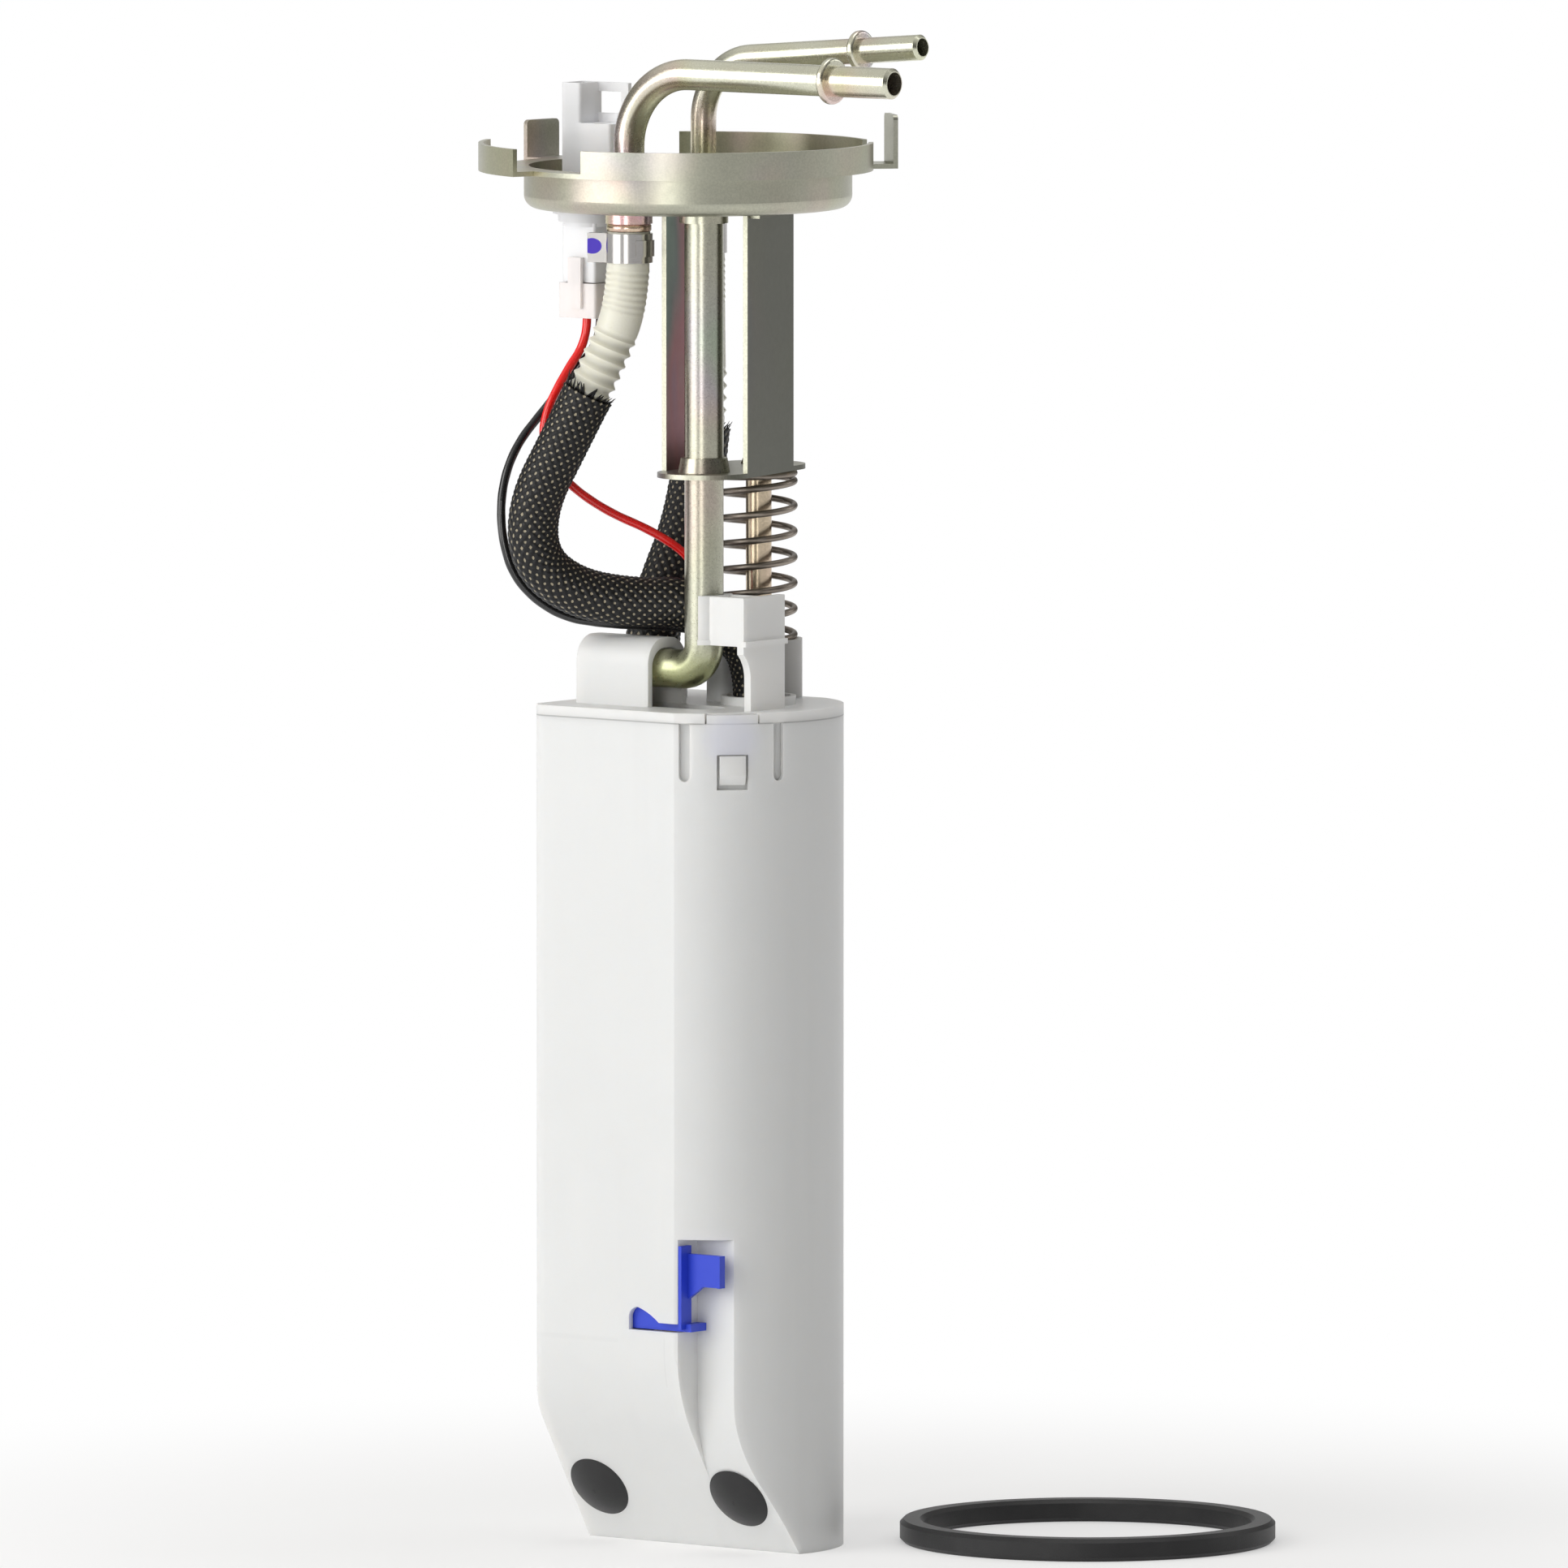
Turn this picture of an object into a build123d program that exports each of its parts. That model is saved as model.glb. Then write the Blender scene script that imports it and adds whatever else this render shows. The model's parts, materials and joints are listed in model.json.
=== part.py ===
"""A fuel pump module: a steel flange on a sprung, telescoping hanger over a plastic reservoir.

Sizes are in millimetres. The origin is on the reservoir's bottom face, under the middle of the
flange. +Z points up, X runs along the reservoir's flat front and -Y points out of that front.
"""
from build123d import *
import math
import os

# Clearances
gap = 0.3
running_gap = 0.08
seat_gap = 0.02

# Reservoir
wall = 2.0
arc_radius = 40.0
arc_centre_x = 10.0
half_depth = 37.5
left_x = -33.0
left_corner_radius = 6.0
body_height = 256.8
slope_angle = 31.0
slope_foot_y = -7.5
slope_blend_radius = 52.0
pocket_left_x = 25.0
pocket_depth = 10.2
pocket_top_z = 98.0
snap_centre = 46.5
snap_half_angle = 21.5
snap_slot_width = 3.6
snap_slot_depth = 16.0
snap_rise = 2.7
snap_rise_half_angle = 11.5
window_half_angle = 7.0
window_drop = 20.3
window_height = 10.8
slit_left_x = 6.2
slit_low_z = 69.2
slit_height = 2.7
slit_arch_height = 7.1
slit_arch_width = 9.0
bumper_radius = 10.5
bumper_dome = 2.6
bumper_stem_radius = 3.0
bumper_z = 17.0
bumper_xs = (-21.0, 33.6)
valve_at = (36.0, 10.0)
valve_raise = 3.5
valve_radius = 7.0
valve_hole_count = 6
valve_hole_ring = 4.4
valve_hole_radius = 1.3
valve_stem_radius = 1.6

# Lid
lid_thickness = 3.2
skirt_wall = 1.8
skirt_depth = 21.5
lid_hook_out = 1.2
hood_wall = 2.2
hood_roof = 3.2
hood_left_x = -24.5
hood_right_x = 3.5
hood_corner_radius = 8.0
clip_wall = 2.5
clip_rise = 20.0
clip_height = 15.0
clip_side_x = 38.5
clip_back_y = -1.0
clip_leg_width = 17.0
clip_arch_radius = 10.0
clip_rib_height = 1.6
cup_wall = 1.1
cup_height = 18.5
hose_collar_radius = 11.5
hose_collar_wall = 1.6
hose_collar_height = 2.7
wire_post_at = (6.0, 8.5)
wire_post_radius = 4.3
wire_post_hole = 3.3
wire_post_height = 15.0

# Guide tube, guide rod, bracket and spring
tube_at = (18.0, -15.0)
tube_radius = 6.0
tube_wall = 1.2
tube_bend_radius = 8.0
tube_leg_rise = 11.5
tube_leg_end_x = -14.0
tube_collar_proud = 1.5
tube_collar_height = 3.3
tube_foot_proud = 2.0
tube_foot_height = 4.5
rod_at = (8.0, 25.0)
rod_radius = 4.0
rod_below_lid = 16.8
rod_bead_proud = 1.6
rod_bead_height = 3.0
rod_tip = 1.5
bracket_half_width = 14.4
bracket_sheet = 1.5
bracket_over_lid = 71.0
bracket_height = 81.2
bracket_back_off = 0.5
bracket_depth = 34.8
bracket_foot = 3.2
spring_radius = 11.0
spring_wire = 2.1
spring_turns = 9

# Flange
pan_radius = 50.5
pan_sheet = 1.5
pan_depth = 11.5
pan_corner_radius = 4.0
rim_radius = 57.0
rim_wall_height = 8.5
ear_radius = 64.5
left_tab_height = 13.0
right_tab_height = 16.5
tab_width = 14.0
tab_corner = 1.5
near_rim_angles = (-87.0, 40.0)
far_rim_angles = (53.0, 131.0)
ear_angles = (-157.0, -108.0)
left_tab_angle = 173.5
right_tab_angle = 49.5

# Pipes
feed_at = (-5.0, -23.0)
feed_radius = 4.765
feed_run_rise = 42.5
feed_bend_radius = 23.0
feed_end_x = 98.0
return_at = (-16.0, 28.0)
return_radius = 3.97
return_run_rise = 43.5
return_slant = 4.6
return_bend_radius = 20.0
return_end_x = 69.5
pipe_wall = 1.2
pipe_tip_chamfer = 0.9
bead_proud = 2.35
bead_width = 2.4
bead_round = 0.9
bead_from_end = 24.0
nipple_length = 20.5
nipple_ring_radius = 7.25
nipple_ring_height = 4.0

# Hoses and their clamps
hose_radius = 6.6
hose_wall = 1.5
hose_below_pan = 6.5
sleeve_gap = 0.35
sleeve_wall = 0.95
return_sleeve_wall = 1.7
clamp_below_pan = 7.0
clamp_width = 9.0
clamp_sheet = 0.6
clamp_ear_length = 5.5
feed_clamp_angle = 205.0
return_clamp_angle = 120.0
feed_fitting_at = (22.0, 7.0)
return_fitting_at = (-22.0, 9.0)
fitting_radius = 4.8
fitting_bore = 3.4
fitting_above_lid = 6.0
fitting_below_lid = 16.0
fitting_flange = 0.6
fitting_flange_height = 0.9
inner_hose_wall = 1.3

# Electrical connector and leads
plug_at = (-30.5, -10.0)
base_left_x = -37.8
base_right_x = -18.5
base_half_y = 5.3
tower_width = 7.6
shroud_wall = 1.1
shroud_height = 36.0
shroud_room = 24.0
shell_corner = 1.0
loop_height = 12.3
loop_thickness = 1.6
loop_frame = 2.8
pan_hole_radius = 8.5
grommet_radius = 11.5
grommet_step = 1.6
grommet_height = 5.0
lower_shell_x = 13.0
lower_shell_y = 12.0
lower_shell_height = 18.2
harness_plug_height = 10.7
harness_plug_grow = 0.8
blade_width = 2.8
blade_thickness = 0.8
blade_spacing = 4.0
blade_below_rim = 6.0
wire_radius = 1.35

# Latch
latch_bar_width = 1.2
latch_bar_depth = 5.0
latch_bar_low_z = 70.3
latch_bar_top_z = 96.0
latch_arm_end_x = 39.6
latch_arm_low_z = 83.6
latch_arm_height = 9.9
latch_arm_thickness = 1.7
latch_gusset = 5.5
latch_hook_thickness = 1.8
latch_hook_left_x = 4.4
latch_foot_width = 3.4

# Pump
pump_at = (6.0, 10.0)
pump_radius = 19.0
pump_low_z = 50.0
pump_length = 90.0
pump_can = 1.2
pump_lip = 2.0
inlet_cover_thickness = 6.0
inlet_offset = 8.0
inlet_radius = 6.0
inlet_bore = 4.4
inlet_length = 16.0
impeller_radius = 15.0
impeller_thickness = 3.0
impeller_vanes = 30
vane_depth = 2.2
vane_width = 1.6
chamber_gap = 0.25
outlet_plate_thickness = 6.0
outlet_hole_radius = 3.0
shaft_radius = 2.0
magnet_thickness = 3.1
magnet_half_angle = 68.0
magnet_length = 44.0
core_radius = 13.8
core_length = 34.0
core_slots = 8
core_slot_width = 2.6
core_slot_depth = 7.0
coil_height = 6.0
coil_over_plate = 4.0
commutator_radius = 7.5
commutator_height = 6.0
commutator_bars = 8
commutator_slit = 0.6
cap_bearing_length = 8.0
cap_height = 12.0
cap_dome_radius = 15.0
brush_size = 4.0
brush_height = 7.0
brush_offset = 5.0
brush_spring_height = 6.0
outlet_offset = 8.0
outlet_radius = 4.9
outlet_bore = 3.4
outlet_length = 20.0
outlet_seat_depth = 3.0
passage_offset = 14.0
passage_width = 2.6
check_radius = 2.4
check_height = 7.0
check_spring_height = 8.9
check_stop_height = 2.4
holder_thickness = 3.0
isolator_wall = 2.0
isolator_height = 12.0
isolator_lip = 2.5
foot_wall = 2.0
foot_leg_width = 6.0
foot_ring_height = 8.0
foot_leg_angles = (62.0, 118.0, 242.0, 298.0)
rib_size = 2.4
rib_length = 35.0
rib_xs = (-14.0, 18.0)
strainer_size = (44.0, 22.0, 7.0)
strainer_at = (6.0, 8.5)
strainer_low_z = 8.0
strainer_corner = 6.0
strainer_edge = 2.5
neck_wall = 1.8
neck_overlap = 6.0
drop_radius = 3.2
drop_wall = 1.0
jet_radius = 4.0
jet_nose_radius = 2.6
jet_bore = 1.0
jet_nose_length = 12.0
jet_nose_z = 13.0
pump_plug_size = (9.0, 6.0, 16.0)
pump_plug_offset = (-7.7, 5.0)

# Tank seal, lying beside the module
seal_at = (97.0, 76.0)
seal_inner_radius = 50.6
seal_outer_radius = 58.0
seal_height = 7.0
seal_chamfer = 1.2

# Places that the hoses and leads start and end at
body_top_z = body_height
lid_low_z = body_top_z
lid_top_z = lid_low_z + lid_thickness
bracket_floor_z = lid_top_z + bracket_over_lid
bracket_top_z = bracket_floor_z + bracket_height
pan_floor_z = bracket_top_z + gap
hose_top_z = pan_floor_z - hose_below_pan
shell_top = pan_floor_z - grommet_height - gap
lower_shell_low_z = shell_top - lower_shell_height
harness_plug_low_z = lower_shell_low_z - gap - harness_plug_height
hose_end_z = lid_top_z + fitting_flange_height + 0.1
pump_top_z = pump_low_z + pump_length
cap_top_z = pump_top_z + cap_height
pump_plug_top_z = cap_top_z + pump_plug_size[2]
fitting_low_z = lid_top_z - fitting_below_lid
inner_rise = fitting_low_z - cap_top_z

# Routes of the hoses and leads
feed_route = [
    (feed_at[0], feed_at[1], hose_top_z),
    (-5.0, -23.0, lid_top_z + 125),
    (-11.0, -27.0, lid_top_z + 107),
    (-21.5, -33.5, lid_top_z + 82),
    (-30.5, -38.5, lid_top_z + 62),
    (-31.0, -37.5, lid_top_z + 44.5),
    (-22.5, -29.0, lid_top_z + 34.5),
    (-8.5, -17.0, lid_top_z + 31),
    (5.0, -6.0, lid_top_z + 31.5),
    (15.5, 2.5, lid_top_z + 24),
    (22.0, 7.0, lid_top_z + 13),
    (feed_fitting_at[0], feed_fitting_at[1], hose_end_z),
]
feed_sleeve_share = 3 / 7
return_route = [
    (return_at[0], return_at[1], hose_top_z),
    (-16.0, 28.0, lid_top_z + 120),
    (-14.5, 27.0, lid_top_z + 86),
    (-16.5, 22.5, lid_top_z + 54),
    (-21.0, 12.5, lid_top_z + 30),
    (-22.0, 9.0, lid_top_z + 14),
    (return_fitting_at[0], return_fitting_at[1], hose_end_z),
]
return_sleeve_share = 3 / 32
red_route = [
    (-28.6, -14.0, harness_plug_low_z),
    (-28.6, -14.0, lid_top_z + 111),
    (-31.8, -21.0, lid_top_z + 101),
    (-35.1, -27.4, lid_top_z + 88),
    (-35.3, -27.0, lid_top_z + 77),
    (-29.8, -22.0, lid_top_z + 67),
    (-20.9, -13.8, lid_top_z + 58.5),
    (-10.2, -4.8, lid_top_z + 52.5),
    (-2.2, 4.2, lid_top_z + 44.5),
    (3.8, 8.6, lid_top_z + 30),
    (4.4, 8.5, lid_top_z + 12),
    (4.3, 8.6, lid_top_z - 10),
    (0.8, 12.0, lid_top_z - 45),
    (-3.6, 15.0, pump_plug_top_z + 16.0),
    (-3.6, 15.0, pump_plug_top_z),
]
black_route = [
    (-25.0, -12.0, harness_plug_low_z),
    (-25.0, -12.0, lid_top_z + 111),
    (-31.9, -16.0, lid_top_z + 101.5),
    (-38.4, -22.4, lid_top_z + 90),
    (-43.6, -30.3, lid_top_z + 79),
    (-44.7, -36.2, lid_top_z + 66),
    (-43.5, -37.8, lid_top_z + 51),
    (-39.3, -35.8, lid_top_z + 37),
    (-29.0, -27.8, lid_top_z + 26.5),
    (-17.4, -16.8, lid_top_z + 24),
    (-6.5, -6.3, lid_top_z + 23.5),
    (2.8, 2.4, lid_top_z + 22),
    (7.4, 7.3, lid_top_z + 18.5),
    (7.5, 8.5, lid_top_z + 4),
    (7.5, 8.6, lid_top_z - 11),
    (4.6, 12.0, lid_top_z - 42),
    (0.4, 15.0, pump_plug_top_z + 18.0),
    (0.4, 15.0, pump_plug_top_z),
]
inner_hose_route = [
    (pump_at[0] + outlet_offset, pump_at[1], cap_top_z + 2.0),
    (pump_at[0] + outlet_offset, pump_at[1], cap_top_z + 0.35 * inner_rise),
    (16.0, 9.4, cap_top_z + 0.63 * inner_rise),
    (21.9, 7.1, cap_top_z + 0.89 * inner_rise),
    (feed_fitting_at[0], feed_fitting_at[1], fitting_low_z + 8.0),
]
drop_pipe_route = [
    (return_fitting_at[0], return_fitting_at[1], fitting_low_z - 0.5),
    (-22.5, 9.0, fitting_low_z - 54.0),
    (-24.0, 8.8, 138.0),
    (-24.5, 8.6, 84.0),
    (-24.5, 8.4, 34.0),
]

# Places that follow from the sizes above
slope = math.radians(slope_angle)
window_low_z = body_top_z - window_drop
pocket_face_y = -half_depth + pocket_depth
clip_low_z = lid_top_z + clip_rise
clip_high_z = clip_low_z + clip_height
cup_top_z = lid_top_z + cup_height
wire_post_top_z = lid_top_z + wire_post_height
tube_leg_z = lid_top_z + tube_leg_rise
hood_half_width = tube_radius + gap + hood_wall + 1.0
hood_top_z = tube_leg_z + tube_radius + gap + hood_roof
cup_inner_radius = spring_radius + spring_wire / 2 + gap
rod_low_z = lid_low_z - rod_below_lid
nipple_low_z = pan_floor_z - nipple_length
clamp_low_z = pan_floor_z - clamp_below_pan - clamp_width
fitting_top_z = lid_top_z + fitting_above_lid
shroud_low_z = pan_floor_z + pan_sheet + gap
shroud_top_z = shroud_low_z + shroud_height
shroud_floor_z = shroud_top_z - shroud_room
loop_low_z = shroud_top_z - loop_height
tower_right_x = base_left_x + tower_width
blade_at = (base_left_x + tower_width / 2, plug_at[1])
latch_arm_high_z = latch_arm_low_z + latch_arm_height
shell_inner = pump_radius - pump_can
magnet_outer = shell_inner - gap
magnet_inner = magnet_outer - magnet_thickness
impeller_low_z = pump_low_z + inlet_cover_thickness + chamber_gap
outlet_plate_low_z = impeller_low_z + impeller_thickness + chamber_gap
core_low_z = outlet_plate_low_z + outlet_plate_thickness + coil_over_plate + coil_height
core_high_z = core_low_z + core_length
commutator_low_z = core_high_z + coil_height + 0.5
brush_low_z = commutator_low_z + commutator_height + running_gap
cap_low_z = brush_low_z - 1.0
outlet_at = (pump_at[0] + outlet_offset, pump_at[1])
outlet_seat_z = cap_top_z - outlet_seat_depth
inlet_at = (pump_at[0], pump_at[1] - inlet_offset)
holder_z = pump_top_z - isolator_height - holder_thickness
foot_inner = pump_radius - pump_lip
foot_outer = pump_radius + isolator_wall + foot_wall
isolator_low_z = pump_low_z - pump_can - pump_lip - 1.0
guide_line = Vector(rod_at[0] - tube_at[0], rod_at[1] - tube_at[1])
guide_angle = math.degrees(math.atan2(guide_line.Y, guide_line.X))


def block(low, high):
    """A box between two corners."""
    size = [b - a for a, b in zip(low, high)]
    middle = [(a + b) / 2 for a, b in zip(low, high)]
    return Pos(*middle) * Box(*size)


def post(at, radius, low_z, high_z):
    """An upright round bar."""
    return Pos(at[0], at[1], low_z) * extrude(Circle(radius), high_z - low_z)


def ring(at, inner, outer, low_z, high_z):
    """An upright round tube."""
    return Pos(at[0], at[1], low_z) * extrude(Circle(outer) - Circle(inner), high_z - low_z)


def turned(at, outline):
    """A solid turned about an upright line, from its (radius, z) points."""
    face = make_face(Polyline(*outline, close=True))
    return Pos(at[0], at[1], 0) * revolve(Plane.XZ * face, Axis.Z)


def ring_sector(inner, outer, low_z, high_z, start, end):
    """A part of an upright ring between two angles from +X."""
    middle = Pos((inner + outer) / 2, (low_z + high_z) / 2)
    section = Plane.XZ * middle * Rectangle(outer - inner, high_z - low_z)
    return Rot(0, 0, start) * revolve(section, Axis.Z, end - start)


def between(start, end, share):
    """The point at a share of the way from one place to another."""
    return tuple(a + share * (b - a) for a, b in zip(start, end))


def corner_radii(route, share=0.45):
    """The largest arc that each corner of a hose's route has room for."""
    radii = []
    for before, corner, after in zip(route, route[1:], route[2:]):
        arriving = Vector(*corner) - Vector(*before)
        leaving = Vector(*after) - Vector(*corner)
        half_turn = math.radians(arriving.get_angle(leaving)) / 2
        radii.append(share * min(arriving.length, leaving.length) / math.tan(half_turn))
    return radii


def bent_tube(name, route, radii, outer, inner=0.0):
    """A hose, pipe or lead along straight runs and tangent arcs."""
    path = FilletPolyline(*route, radius=radii)
    section = Circle(outer)
    if inner > 0:
        section = section - Circle(inner)
    solid = sweep(Plane(origin=path @ 0, z_dir=path % 0) * section, path=path)
    due = section.area * path.length
    print(name, "length", round(path.length, 1), "volume share", round(solid.volume / due, 4))
    print(name, "radii", [round(radius, 1) for radius in radii])
    return solid


def d_section(inset=0.0):
    """The reservoir's outline seen from above: a box whose right side is an arc."""
    reach = arc_radius - inset
    flat = half_depth - inset
    crease = arc_centre_x + math.sqrt(reach**2 - flat**2)
    left = left_x + inset
    sides = Polyline((crease, flat), (left, flat), (left, -flat), (crease, -flat))
    bow = ThreePointArc((crease, -flat), (arc_centre_x + reach, 0), (crease, flat))
    outline = make_face([*sides.edges(), *bow.edges()])
    corners = outline.vertices().group_by(Axis.X)[0]
    return fillet(corners, max(left_corner_radius - inset, 1.0))


def front_cut(front, left, top_z=None, inset=0.0):
    """What lies in front of an upright face at Y = -front and of the slope below it."""
    half = slope / 2
    blend = slope_blend_radius - inset
    foot_y = slope_foot_y + inset / math.cos(slope)
    bend_z = (foot_y + front) / math.tan(slope)
    reach = blend * math.tan(half)
    high = (-front, bend_z + reach)
    low = (-front + reach * math.sin(slope), bend_z - reach * math.cos(slope))
    middle = (-front + blend - blend * math.cos(half), bend_z + reach - blend * math.sin(half))
    under = 10.0
    start = (foot_y + under * math.tan(slope), -under)
    beyond = -front - 100
    ahead = [high, (-front, top_z), (beyond, top_z)] if top_z else [high, (beyond, high[1])]
    around = Polyline(*ahead, (beyond, -under), start, low)
    bend = ThreePointArc(low, middle, high)
    outline = make_face([*around.edges(), *bend.edges()])
    return Pos(left, 0, 0) * extrude(Plane.YZ * outline, 200)


def shell_block(inset=0.0, top_z=body_top_z):
    """The reservoir's block, sloped at its lower front and with its pocket taken out."""
    solid = Pos(0, 0, inset) * extrude(d_section(inset), top_z - inset)
    solid = solid - front_cut(half_depth - inset, -100, None, inset)
    pocket_front = half_depth - pocket_depth - inset
    return solid - front_cut(pocket_front, pocket_left_x - inset, pocket_top_z + inset, inset)


def on_arc(angle, radius, z):
    """A point on the reservoir's round side, at an angle from -Y towards +X."""
    turn = math.radians(angle)
    return (arc_centre_x + radius * math.sin(turn), -radius * math.cos(turn), z)


def arc_sector(inner, outer, low_z, high_z, centre, half_angle):
    """A part of a ring about the round side's own centre."""
    start = centre - half_angle - 90
    return Pos(arc_centre_x, 0) * ring_sector(inner, outer, low_z, high_z, start, start + 2 * half_angle)


def snap_slots():
    """The two slots that free the snap tongue, with round lower ends."""
    slots = []
    for side in (-1, 1):
        angle = snap_centre + side * snap_half_angle
        depth_z = body_top_z - snap_slot_depth
        cut = block((-snap_slot_width / 2, -arc_radius - 5, depth_z),
                    (snap_slot_width / 2, -30, lid_top_z + snap_rise))
        end = Pos(0, -arc_radius, depth_z) * Rot(90, 0, 0) * Cylinder(snap_slot_width / 2, 20)
        slots.append(Pos(arc_centre_x, 0) * Rot(0, 0, angle) * (cut + end))
    return slots


def slit_outline():
    """The slit in the front wall that shows the latch's hook, seen from the front."""
    low = slit_low_z
    neck = slit_low_z + slit_height
    peak = slit_low_z + slit_arch_height
    left = slit_left_x
    arch_x = left + 0.4 * slit_arch_width
    neck_x = left + 1.3 * slit_arch_width
    right = pocket_left_x + 5
    shoulder = (left, low + 0.45 * slit_arch_height)
    rise = ThreePointArc(shoulder, (left + 0.1 * slit_arch_width, peak - 0.15 * slit_arch_height),
                         (arch_x, peak))
    fall = ThreePointArc((arch_x, peak), (arch_x + 0.4 * slit_arch_width, peak - 0.2 * slit_arch_height),
                         (neck_x, neck))
    rest = Polyline((neck_x, neck), (right, neck), (right, low), (left, low), shoulder)
    return make_face([*rise.edges(), *fall.edges(), *rest.edges()])


def latch_window():
    """The opening in the pocket's side that the latch's hook slides through, behind the front wall."""
    front_y = -half_depth + wall
    back_y = front_y + 2 * gap + latch_hook_thickness
    high = slit_low_z + slit_arch_height + 1.0 + gap
    return block((pocket_left_x - wall - 1, front_y, slit_low_z), (pocket_left_x + 1, back_y, high))


def from_front(face, front_y, depth):
    """A face drawn in X and Z, made into a slab that goes back from front_y."""
    return Pos(0, front_y, 0) * extrude(Plane.XZ * face, -depth)


def valve_seat_ring():
    """The raised part of the floor that carries the inlet valve, as an added and a cut solid."""
    raised = post(valve_at, valve_radius + wall, 0, wall + valve_raise)
    hollow = post(valve_at, valve_radius, -1, valve_raise)
    holes = post(valve_at, valve_stem_radius + gap, -1, 20)
    for index in range(valve_hole_count):
        turn = math.radians(360 / valve_hole_count * index)
        x = valve_at[0] + valve_hole_ring * math.cos(turn)
        y = valve_at[1] + valve_hole_ring * math.sin(turn)
        holes = holes + post((x, y), valve_hole_radius, -1, 20)
    return raised, hollow + holes


def rib_places():
    """Where the holder's four ribs stand against the reservoir's wall."""
    inner = half_depth - wall
    return [(x, y) for x in rib_xs for y in (-inner, inner)]


def bumper_plane(x):
    """The plane on the slope that a bumper lies on."""
    y = slope_foot_y - bumper_z * math.tan(slope)
    return Plane(origin=(x, y, bumper_z), z_dir=(0, -math.cos(slope), -math.sin(slope)))


def make_reservoir():
    """The D-shaped pot with its pocket, slit, snap tongue, window and valve seat."""
    solid = shell_block() - shell_block(wall, body_top_z + 5)
    rise = arc_sector(arc_radius - wall, arc_radius, body_top_z - 1, body_top_z + snap_rise, snap_centre,
                      snap_rise_half_angle)
    solid = solid + rise
    for slot in snap_slots():
        solid = solid - slot
    window = arc_sector(arc_radius - 6, arc_radius + 5, window_low_z, window_low_z + window_height,
                        snap_centre, window_half_angle)
    solid = solid - window
    solid = solid - from_front(slit_outline(), -half_depth - 1, wall + 1.5)
    solid = solid - latch_window()
    raised, cut = valve_seat_ring()
    solid = solid + raised - cut
    for x, y in rib_places():
        side = -rib_size if y > 0 else rib_size
        rib = block((x - rib_size / 2, min(y, y + side), holder_z - rib_length),
                    (x + rib_size / 2, max(y, y + side), holder_z - seat_gap))
        solid = solid + rib
    for x in bumper_xs:
        hole = bumper_plane(x) * Cylinder(bumper_stem_radius + seat_gap, 4 * wall)
        solid = solid - hole
    return solid


def make_bumpers():
    """Two domed rubber buttons, each with a stem through the slope and a barb inside."""
    sphere = (bumper_radius**2 + bumper_dome**2) / (2 * bumper_dome)
    made = []
    for x in bumper_xs:
        dome = Pos(0, 0, bumper_dome - sphere) * Sphere(sphere)
        cap = dome & Pos(0, 0, bumper_dome / 2) * Cylinder(bumper_radius, bumper_dome)
        stem = Pos(0, 0, -wall / 2) * Cylinder(bumper_stem_radius, wall + 2)
        barb = Pos(0, 0, -wall - seat_gap - 1.2) * Cylinder(bumper_stem_radius + 1.2, 2.4)
        made.append(bumper_plane(x) * (Pos(0, 0, seat_gap) * cap + stem + barb))
    return Compound(children=made)


def make_hood():
    """The arch on the lid that catches the guide tube's bent end."""
    y = tube_at[1]
    outer = block((hood_left_x, y - hood_half_width, lid_top_z - 1),
                  (hood_right_x, y + hood_half_width, hood_top_z))
    inner_half = hood_half_width - hood_wall
    inner_top = hood_top_z - hood_roof
    room = block((hood_left_x + hood_wall, y - inner_half, lid_low_z - 5),
                 (hood_right_x + 5, y + inner_half, inner_top))
    outer = fillet(outer.edges().filter_by(Axis.X).group_by(Axis.Z)[-1], hood_corner_radius)
    room = fillet(room.edges().filter_by(Axis.X).group_by(Axis.Z)[-1], hood_corner_radius - hood_wall)
    return outer - room, room


def make_clip():
    """The guide on the lid that holds the guide tube from its right, on one leg."""
    x, y = tube_at
    inner = tube_radius + gap
    collar = Pos(x, y) * ring_sector(inner, inner + clip_wall, clip_low_z, clip_high_z, -64, 62)
    web = block((x + inner + 1.0, y - 6.5, clip_low_z), (clip_side_x, y - 6.5 + clip_wall, clip_high_z))
    brace = block((x + inner + 1.0, y + 2.0, clip_low_z), (clip_side_x, y + 2.0 + clip_wall, clip_high_z))
    front_y = y - 6.5
    side = block((clip_side_x - clip_wall, front_y, clip_low_z - clip_arch_radius),
                 (clip_side_x, clip_back_y, clip_high_z))
    leg_y = clip_back_y - clip_leg_width
    leg = block((clip_side_x - clip_wall, leg_y, lid_top_z - 1),
                (clip_side_x, clip_back_y, clip_high_z - 1))
    arch_y = leg_y - clip_arch_radius
    arch_z = clip_low_z - clip_arch_radius
    arch = Pos(clip_side_x, arch_y, arch_z) * Rot(0, 90, 0) * Cylinder(clip_arch_radius, 20)
    below = block((clip_side_x - 10, arch_y - 20, arch_z - 20), (clip_side_x + 10, leg_y, arch_z))
    side = side - arch - below
    rib = block((clip_side_x, leg_y - 4, clip_low_z),
                (clip_side_x + 1.2, clip_back_y, clip_low_z + clip_rib_height))
    lip = Pos(x, y) * ring_sector(inner, inner + clip_wall + 1.2, clip_low_z, clip_low_z + clip_rib_height,
                                  -64, 10)
    solid = collar + web + brace + side + leg + rib + lip
    return solid - post(tube_at, inner, clip_low_z - 1, clip_high_z + 1)


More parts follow.
